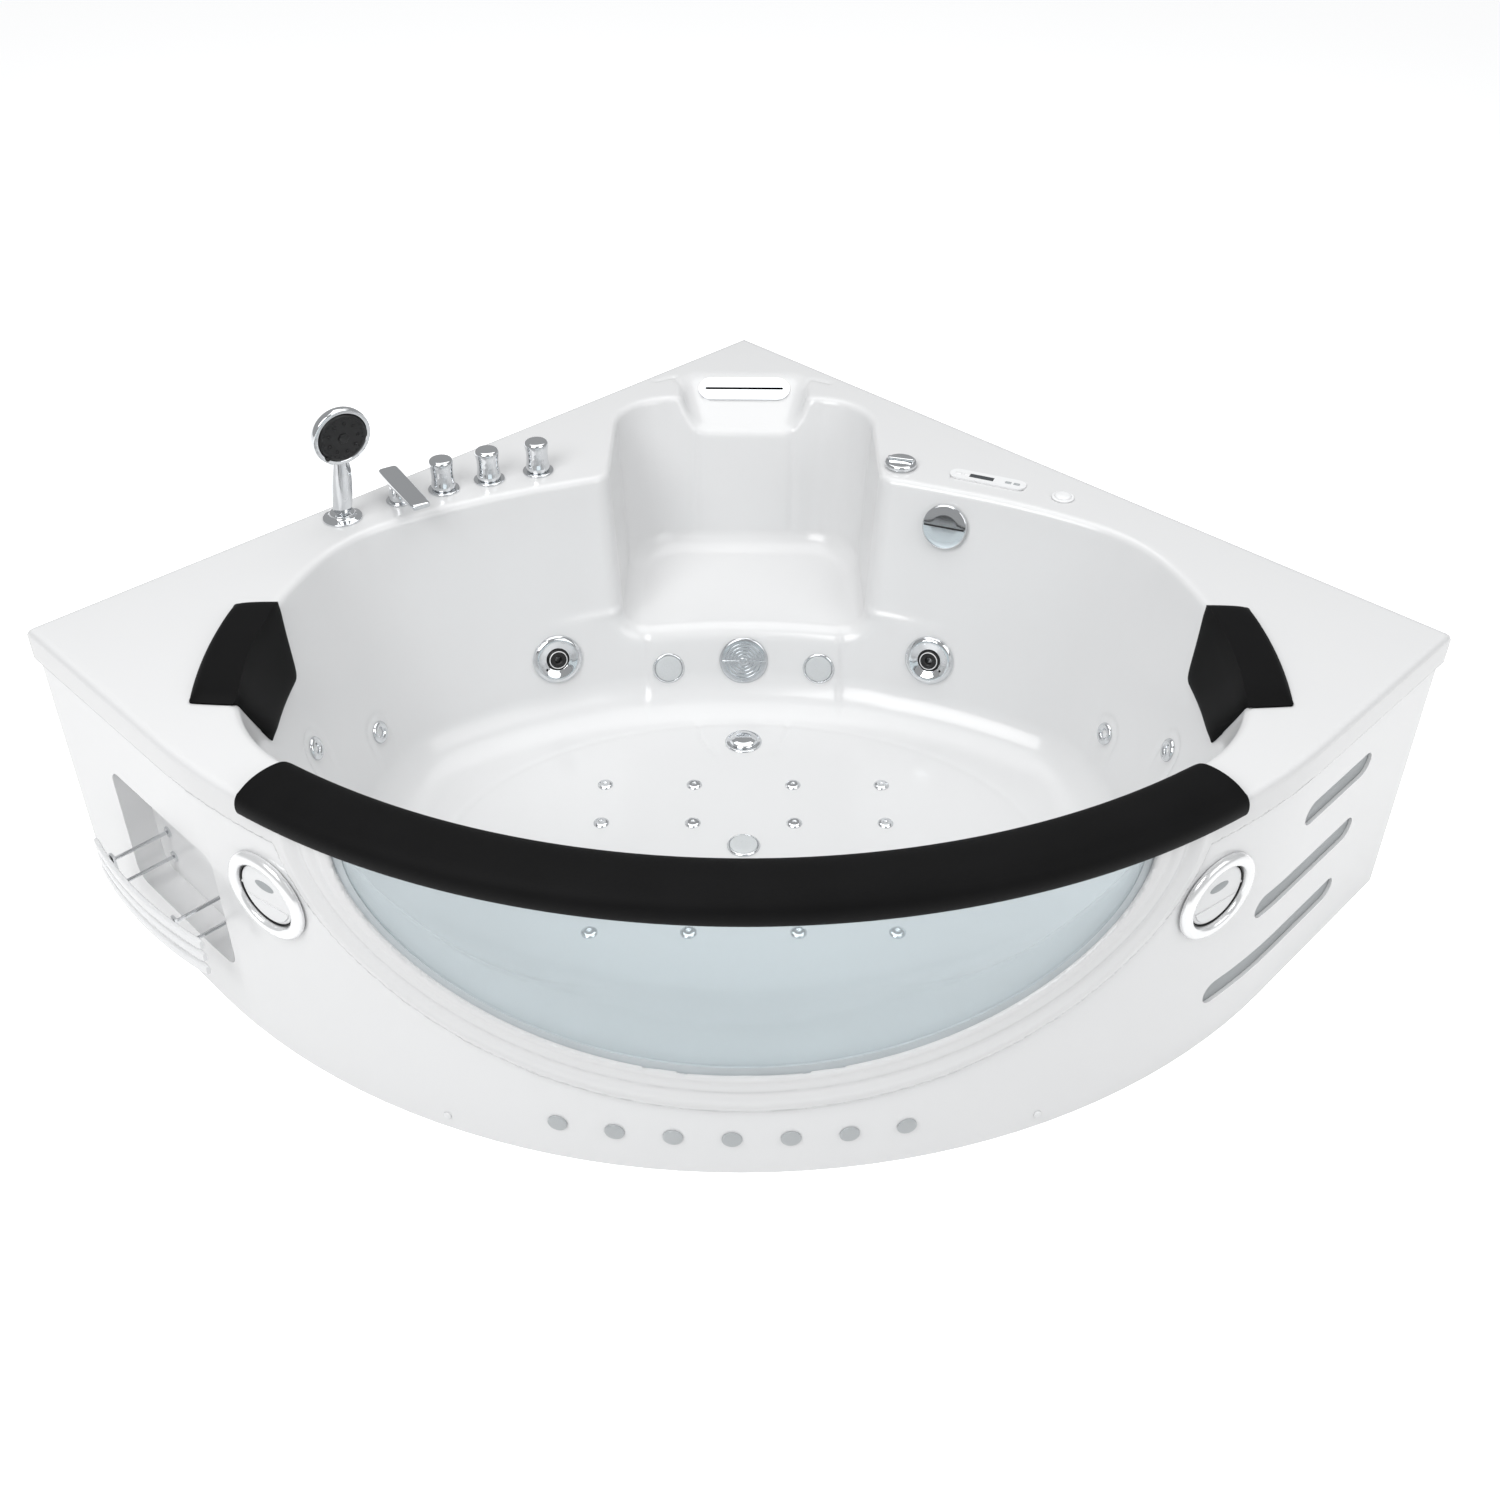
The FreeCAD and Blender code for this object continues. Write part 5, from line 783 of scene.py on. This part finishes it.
def lights():
    bm = bmesh.new()
    for place in SEAT_LIGHTS:
        lathe_into(bm, [(0, -34), (16, -34), (16, 0), (28.5, 0), (28.5, 2.2), (26.8, 4.0), (24.6, 4.4),
                        (24.2, 3), (0, 3)], place)
    lathe_into(bm, [(0, -16), (8, -16), (8, 0), (27, 0), (27, 2.2), (25.2, 4.0), (23.4, 4.4), (23, 3),
                    (0, 3)], FLOOR_LIGHT)
    object_from("lamp_rings", bm, CHROME, "tub", "chromed_plastic", "light_housings")
    bm = bmesh.new()
    for place, radius in [(p, 24.0) for p in SEAT_LIGHTS] + [(FLOOR_LIGHT, 22.8)]:
        lathe_into(bm, [(0, 3), (radius, 3), (radius - 0.6, 4.6), (radius * 0.6, 5.4), (0, 5.5)], place, 56)
        for ring, count in ((6.0, 6), (12.0, 12), (18.0, 18)):
            for k in range(count):
                a = 2 * math.pi * k / count
                dome = 5.5 - ring * ring * 0.002
                dot = place @ Matrix.Translation(Vector((ring * math.cos(a), ring * math.sin(a), dome)))
                lathe_into(bm, [(0, -0.6), (1.7, -0.6), (1.2, 0.4), (0, 0.7)], dot, 8, 0.1)
    object_from("lamp_lenses", bm, LENS, "tub", "lens", "light_lenses")
    bm = bmesh.new()
    pitch = math.degrees(80.0 / FRONT)
    for k in range(-3, 4):
        lathe_into(bm, [(0, -1), (14, -1), (14, 1.2), (12.6, 2.3), (8, 2.5), (0, 2.5)],
                   front_spot(k * pitch - 0.8, 72, SKIN_INSET), 48)
    object_from("plinth_lenses", bm, PLINTH_LENS, "tub", "lens")


def jets():
    bm = bmesh.new()
    for place in LARGE_JETS:
        lathe_into(bm, [(0, -45), (25, -45), (25, 0), (44, 0), (44, 2.5), (42, 6), (38, 8.6), (34, 9),
                        (29, 7.4), (24, 5.4), (19.3, 4), (19.3, -8), (0, -8)], place, 80, 1.6)
    object_from("jet_bezels", bm, CHROME, "tub", "chromed_plastic", "jet_bodies")
    bm = bmesh.new()
    for place in SMALL_JETS:
        lathe_into(bm, [(0, -40), (14, -40), (14, 0), (19, 0), (19, 2), (17.5, 4.4), (14, 6), (11, 5.6),
                        (7.5, 3.4), (6.6, -2), (0, -2)], place, 56)
    object_from("small_jets", bm, CHROME, "tub", "chromed_plastic")
    for label, place in zip(("left", "right"), LARGE_JETS):
        bm = bmesh.new()
        lathe_into(bm, [(5, -7.7), (19, -7.7), (19, 4), (17, 6.8), (13.5, 8), (8, 8), (5.6, 6), (5, 3.6)],
                   place)
        for k in range(3):
            a = math.radians(120 * k)
            fin = place @ Matrix.Rotation(a, 4, "Z") @ Matrix.Translation(Vector((10.5, 0, 7.4)))
            block_into(bm, (8, 1.4, 1.6), fin, 0.4)
        object_from("nozzle_cone_" + label, bm, BLACK, "nozzle_" + label, "black_plastic",
                    "jet_nozzle_" + label)
        bm = bmesh.new()
        lathe_into(bm, [(14.2, 7.2), (15.6, 6.4), (16.2, 7.6), (15, 8.3)], place, 56, 0.3)
        object_from("nozzle_ring_" + label, bm, WHITE, "nozzle_" + label, "white_plastic")
    turned_piece("floor_jets", CHROME, "tub", "chromed_plastic",
                 [(0, -38), (8, -38), (8, 0), (13, 0), (13, 1.4), (11, 3.2), (8, 4), (3.4, 4), (3, 2.4),
                  (0, 2.4)], FLOOR_JETS, "floor_air_jets", sides=32, soft=0.7)


# ------------------------------------------------------------------ skirt details
def skirt_details():
    turned_piece("screw_caps", WHITE, "tub", "white_plastic",
                 [(0, -1), (6, -1), (6, 1), (4.6, 2.3), (0, 2.6)],
                 [front_spot(b, 26, SKIN_INSET) for b in (-21.55, 21.55)], "skirt_screw_caps", sides=28,
                 soft=0.5)
    bm = bmesh.new()
    middle, half, bow = (162.5 + 444.4) / 2, 155.5, 15.0
    radius = (half * half + bow * bow) / (2 * bow)
    reach = SIDE - 6 + 40.0
    for level in (150, 176, 200):
        rings = []
        for k in range(41):
            along = -half + 2 * half * k / 40
            centre = reach + bow - radius
            pts = []
            for m in range(16):
                a = 2 * math.pi * m / 16
                c, s = math.cos(a), math.sin(a)
                ends = 1 - 0.25 * max(0.0, (abs(along) - half + 5) / 5)
                dx = 4 * math.copysign(abs(c) ** 0.6, c) * ends
                dz = 9 * math.copysign(abs(s) ** 0.5, s) * ends
                lx = centre + math.sqrt((radius + 4) ** 2 - along ** 2) + dx
                pts.append(bm.verts.new(wall_point(lx, middle + along, level + dz) * MM))
            rings.append(pts)
        skin_between(bm, rings)
        bm.faces.new(rings[0])
        bm.faces.new(rings[-1])
    object_from("towel_bars", bm, WHITE, "tub", "white_plastic", "rack_bars")


def wall_point(along_left, along_right, z):
    """A point given by its distances along the two wall sides, from the wall corner."""
    s = math.sqrt(0.5)
    return Vector(((-along_left + along_right) * s, CORNER - (along_left + along_right) * s, z))


def pod_spot(side):
    return front_spot(side * POD_BEARING, POD_HEIGHT, POD_INSET)


def pods():
    bm = bmesh.new()
    for side in (-1, 1):
        lathe_into(bm, [(0, -42), (61, -42), (61, -0.2), (70, 0.3), (70, 5), (68, 9), (63.5, 11.6), (57, 12),
                        (53, 10.6), (51, 7), (51, -38), (0, -38)], pod_spot(side), 96, 2.0)
    object_from("pod_bezels", bm, PEARL, "tub", "chromed_plastic", "speaker_bezels")
    # The cups behind the discs are coloured black so that the gap round each disc shows dark: painted shade,
    # where the part itself is chromed plastic.
    bm = bmesh.new()
    for side in (-1, 1):
        lathe_into(bm, [(0, -37), (50.9, -37), (50.9, 4), (49.6, 4), (49.6, -30), (0, -30)],
                   pod_spot(side), 96)
    object_from("pod_cups_painted_gap_shade", bm, BLACK, "tub", "chromed_plastic")
    for side, label in ((-1, "left"), (1, "right")):
        place = pod_spot(side)
        bm = bmesh.new()
        lathe_into(bm, [(0, -3.5), (40.5, -3.5), (48.5, 0), (48.2, 2.2), (46, 3.3), (43, 3.5), (0, 3.9)],
                   place, 96)
        for turn in (0, 180):
            pin = (place @ Matrix.Rotation(math.radians(turn), 4, "Z")
                   @ Matrix.Rotation(math.radians(90), 4, "Y"))
            lathe_into(bm, [(0, 44), (3, 44), (3, 56.8), (0, 56.8)], pin, 24, 0.4)
        object_from("pod_disc_" + label, bm, WHITE, "disc_" + label, "white_plastic",
                    "speaker_disc_" + label)
        bm = bmesh.new()
        pts = []
        for m in range(25):
            a = math.radians(200 + 140 * m / 24)
            pts.append((43.5 * math.cos(a), 43.5 * math.sin(a)))
        low = [bm.verts.new(place @ Vector((x, y, 3.4)) * MM) for x, y in pts]
        high = [bm.verts.new(place @ Vector((x * 0.97, y * 0.97 - 0.4, 4.9)) * MM) for x, y in pts]
        for m in range(24):
            bm.faces.new((low[m], low[m + 1], high[m + 1], high[m]))
        bm.faces.new((low[24], low[0], high[0], high[24]))
        bm.faces.new(high)
        bm.faces.new(low[::-1])
        object_from("pod_wedge_" + label, bm, WHITE, "disc_" + label, "white_plastic")
        bm = bmesh.new()
        lathe_into(bm, [(0, 3), (1, 3), (0.9, 4.3), (0, 4.6)],
                   place @ Matrix.Translation(Vector((0, 16, 0))) @ Matrix.Diagonal((19, 8.5, 1, 1)), 48)
        object_from("pod_boss_" + label, bm, GREY, "disc_" + label, "grey_plastic")


# ------------------------------------------------------------------ cushions
def swept_pad(name, rows, node):
    """A crowned closed form through rings of points in mm."""
    bm = bmesh.new()
    rings = [[bm.verts.new(Vector(p) * MM) for p in ring] for ring in rows]
    skin_between(bm, rings)
    for ring in (rings[0], rings[-1]):
        bm.faces.new(ring)
    piece = object_from(name, bm, CUSHION, "tub", "cushion", node, angle=60)
    levels = piece.modifiers.new("subdivide", "SUBSURF")
    levels.levels = levels.render_levels = 1


def front_pad():
    """The roll over the front rim: its section swept round the front, with rounded ends."""
    half = math.radians(35.0)
    section = [(1131.2, 500.4), (1100, 500.4), (1062, 500.4), (1049.5, 500.6), (1046.4, 504), (1048.5, 510),
               (1055, 515.5), (1068, 519.3), (1082, 521.3), (1094, 521.9), (1106, 521.2), (1119, 518.6),
               (1130, 513), (1137, 505), (1139.7, 496), (1139.6, 486), (1137.6, 480), (1134.4, 477.3),
               (1131, 478.4), (1130.5, 484), (1130.5, 494)]
    middle, deck = 1094.0, 500.5
    rows = []
    turns = [-half, -half + 0.0012, -half + 0.004, -half + 0.010]
    turns += list(np.linspace(-half + 0.02, half - 0.02, 60))
    turns += [half - 0.010, half - 0.004, half - 0.0012, half]
    for i, t in enumerate(turns):
        end = min(i, len(turns) - 1 - i)
        share = (0.90, 0.955, 0.985, 0.997)[end] if end < 4 else 1.0
        ring = []
        for r, z in section:
            if z > deck:
                z = deck + (z - deck) * share
            rr = middle + (r - middle) * (share if r < 1120 else 1.0)
            ring.append((rr * math.sin(t), FRONT_CENTRE - rr * math.cos(t), z))
        rows.append(ring)
    swept_pad("front_roll", rows, "front_pad")


def headrest(side, label):
    """A hexagonal pad over the rim: a crowned roll on the deck whose inner part drops down the bowl wall."""
    def wall_radius(z):
        return SIDE_RADIUS - DRAFT * (RIM - z) - 0.6

    drop, flat = 107.0, 62.0
    knee = drop / (drop + flat)

    def line(v, depth):
        """Plan distance from the side centre and height; v runs from the low inner edge to the outer edge."""
        run = v * (drop + flat)
        if run < drop:
            z = 395.0 + run
            return wall_radius(z) - depth * 0.96, z + depth * 0.28
        lap = run - drop
        return wall_radius(RIM) + lap - 2 - depth * 0.55 * max(0.0, 1 - lap / 18), RIM + 0.5 + depth

    def half_width(v):
        if v < knee:
            return 78 + (131 - 78) * (v / knee)
        return 131 - (131 - 116) * (v - knee) / (1 - knee)

    rows = []
    count_v, count_w = 22, 30
    for i in range(count_w + 1):
        w = -1 + 2 * i / count_w
        ring = []
        edge_w = (1 - abs(w) ** 8) ** 0.5 if abs(w) < 1 else 0.0
        for j in range(count_v + 1):
            v = j / count_v
            edge = (1 - abs(2 * v - 1) ** 10) ** 0.5 if 0 < v < 1 else 0.0
            crown = 15.5 * max(0.16, edge * max(edge_w, 0.12))
            ring.append((v, w, crown))
        for j in range(count_v, -1, -1):
            ring.append((j / count_v, w, 0.5))
        points = []
        for v, w_, depth in ring:
            r, z = line(min(max(v, 0.004), 0.996), depth)
            sideways = half_width(v) * w_
            angle = sideways / SIDE_RADIUS
            x, y = r * math.cos(angle), SIDE_CENTRE + r * math.sin(angle)
            points.append((side * x, y, z))
        rows.append(points)
    swept_pad("headrest_" + label + "_cover", rows, "headrest_" + label)


# ------------------------------------------------------------------ stage
def seen_directly(nodes, links, others):
    """1 for the camera's own rays and for the other kinds that are named."""
    path = nodes.new("ShaderNodeLightPath")
    result = path.outputs["Is Camera Ray"]
    for name in others:
        either = nodes.new("ShaderNodeMath")
        either.operation = "MAXIMUM"
        links.new(result, either.inputs[0])
        links.new(path.outputs[name], either.inputs[1])
        result = either.outputs[0]
    return result


def backdrop_look():
    """A pale floor that the camera sees as white, with the tub's shadow kept."""
    look = material("floor_pale", (0.80, 0.80, 0.80), 0.6, vary=0.01, scale=4)
    nodes, links = look.node_tree.nodes, look.node_tree.links
    glow = nodes.new("ShaderNodeEmission")
    glow.inputs["Color"].default_value = (1, 1, 1, 1)
    glow.inputs["Strength"].default_value = 0.6
    both = nodes.new("ShaderNodeAddShader")
    links.new(nodes["Principled BSDF"].outputs["BSDF"], both.inputs[0])
    links.new(glow.outputs["Emission"], both.inputs[1])
    mix = nodes.new("ShaderNodeMixShader")
    links.new(seen_directly(nodes, links, ("Is Glossy Ray", "Is Transmission Ray")), mix.inputs["Fac"])
    links.new(nodes["Principled BSDF"].outputs["BSDF"], mix.inputs[1])
    links.new(both.outputs["Shader"], mix.inputs[2])
    links.new(mix.outputs["Shader"], nodes["Material Output"].inputs["Surface"])
    return look


def stage_and_lights():
    world = bpy.data.worlds.new("studio")
    bpy.context.scene.world = world
    world.use_nodes = True
    nodes, links = world.node_tree.nodes, world.node_tree.links
    background = nodes["Background"]
    background.inputs["Strength"].default_value = 1.0
    mix = nodes.new("ShaderNodeMix")
    mix.data_type = "RGBA"
    links.new(seen_directly(nodes, links, ("Is Transmission Ray",)), mix.inputs["Factor"])
    mix.inputs["A"].default_value = (0.40, 0.405, 0.41, 1)
    mix.inputs["B"].default_value = (1, 1, 1, 1)
    links.new(mix.outputs["Result"], background.inputs["Color"])
    bm = bmesh.new()
    bmesh.ops.create_grid(bm, x_segments=2, y_segments=2, size=9.0)
    mesh = bpy.data.meshes.new("floor")
    bm.to_mesh(mesh)
    bm.free()
    floor = bpy.data.objects.new("floor", mesh)
    bpy.context.scene.collection.objects.link(floor)
    mesh.materials.append(backdrop_look())
    for name, place, size, power, aim in (
            ("key", (-1.6, -2.2, 3.2), 2.2, 88, (0, 0.2, 0.2)),
            ("fill", (2.4, -1.6, 2.4), 2.4, 34, (0, 0.2, 0.2)),
            ("top", (0.0, 0.9, 3.4), 3.0, 50, (0, 0.2, 0.3))):
        data = bpy.data.lights.new(name, "AREA")
        data.shape = "SQUARE"
        data.size = size
        data.energy = power
        lamp = bpy.data.objects.new(name, data)
        lamp.location = place
        lamp.rotation_mode = "QUATERNION"
        lamp.rotation_quaternion = (Vector(aim) - Vector(place)).to_track_quat("-Z", "Y")
        bpy.context.scene.collection.objects.link(lamp)
    bpy.context.scene.view_settings.view_transform = "Standard"


make_camera()
dress_cad()
tub_moulding()
taps()
spout_piece()
hand_shower()
air_control()
control_panel()
light_button()
overflow()
drain()
suction()
lights()
jets()
skirt_details()
pods()
front_pad()
headrest(-1, "left")
headrest(1, "right")
stage_and_lights()
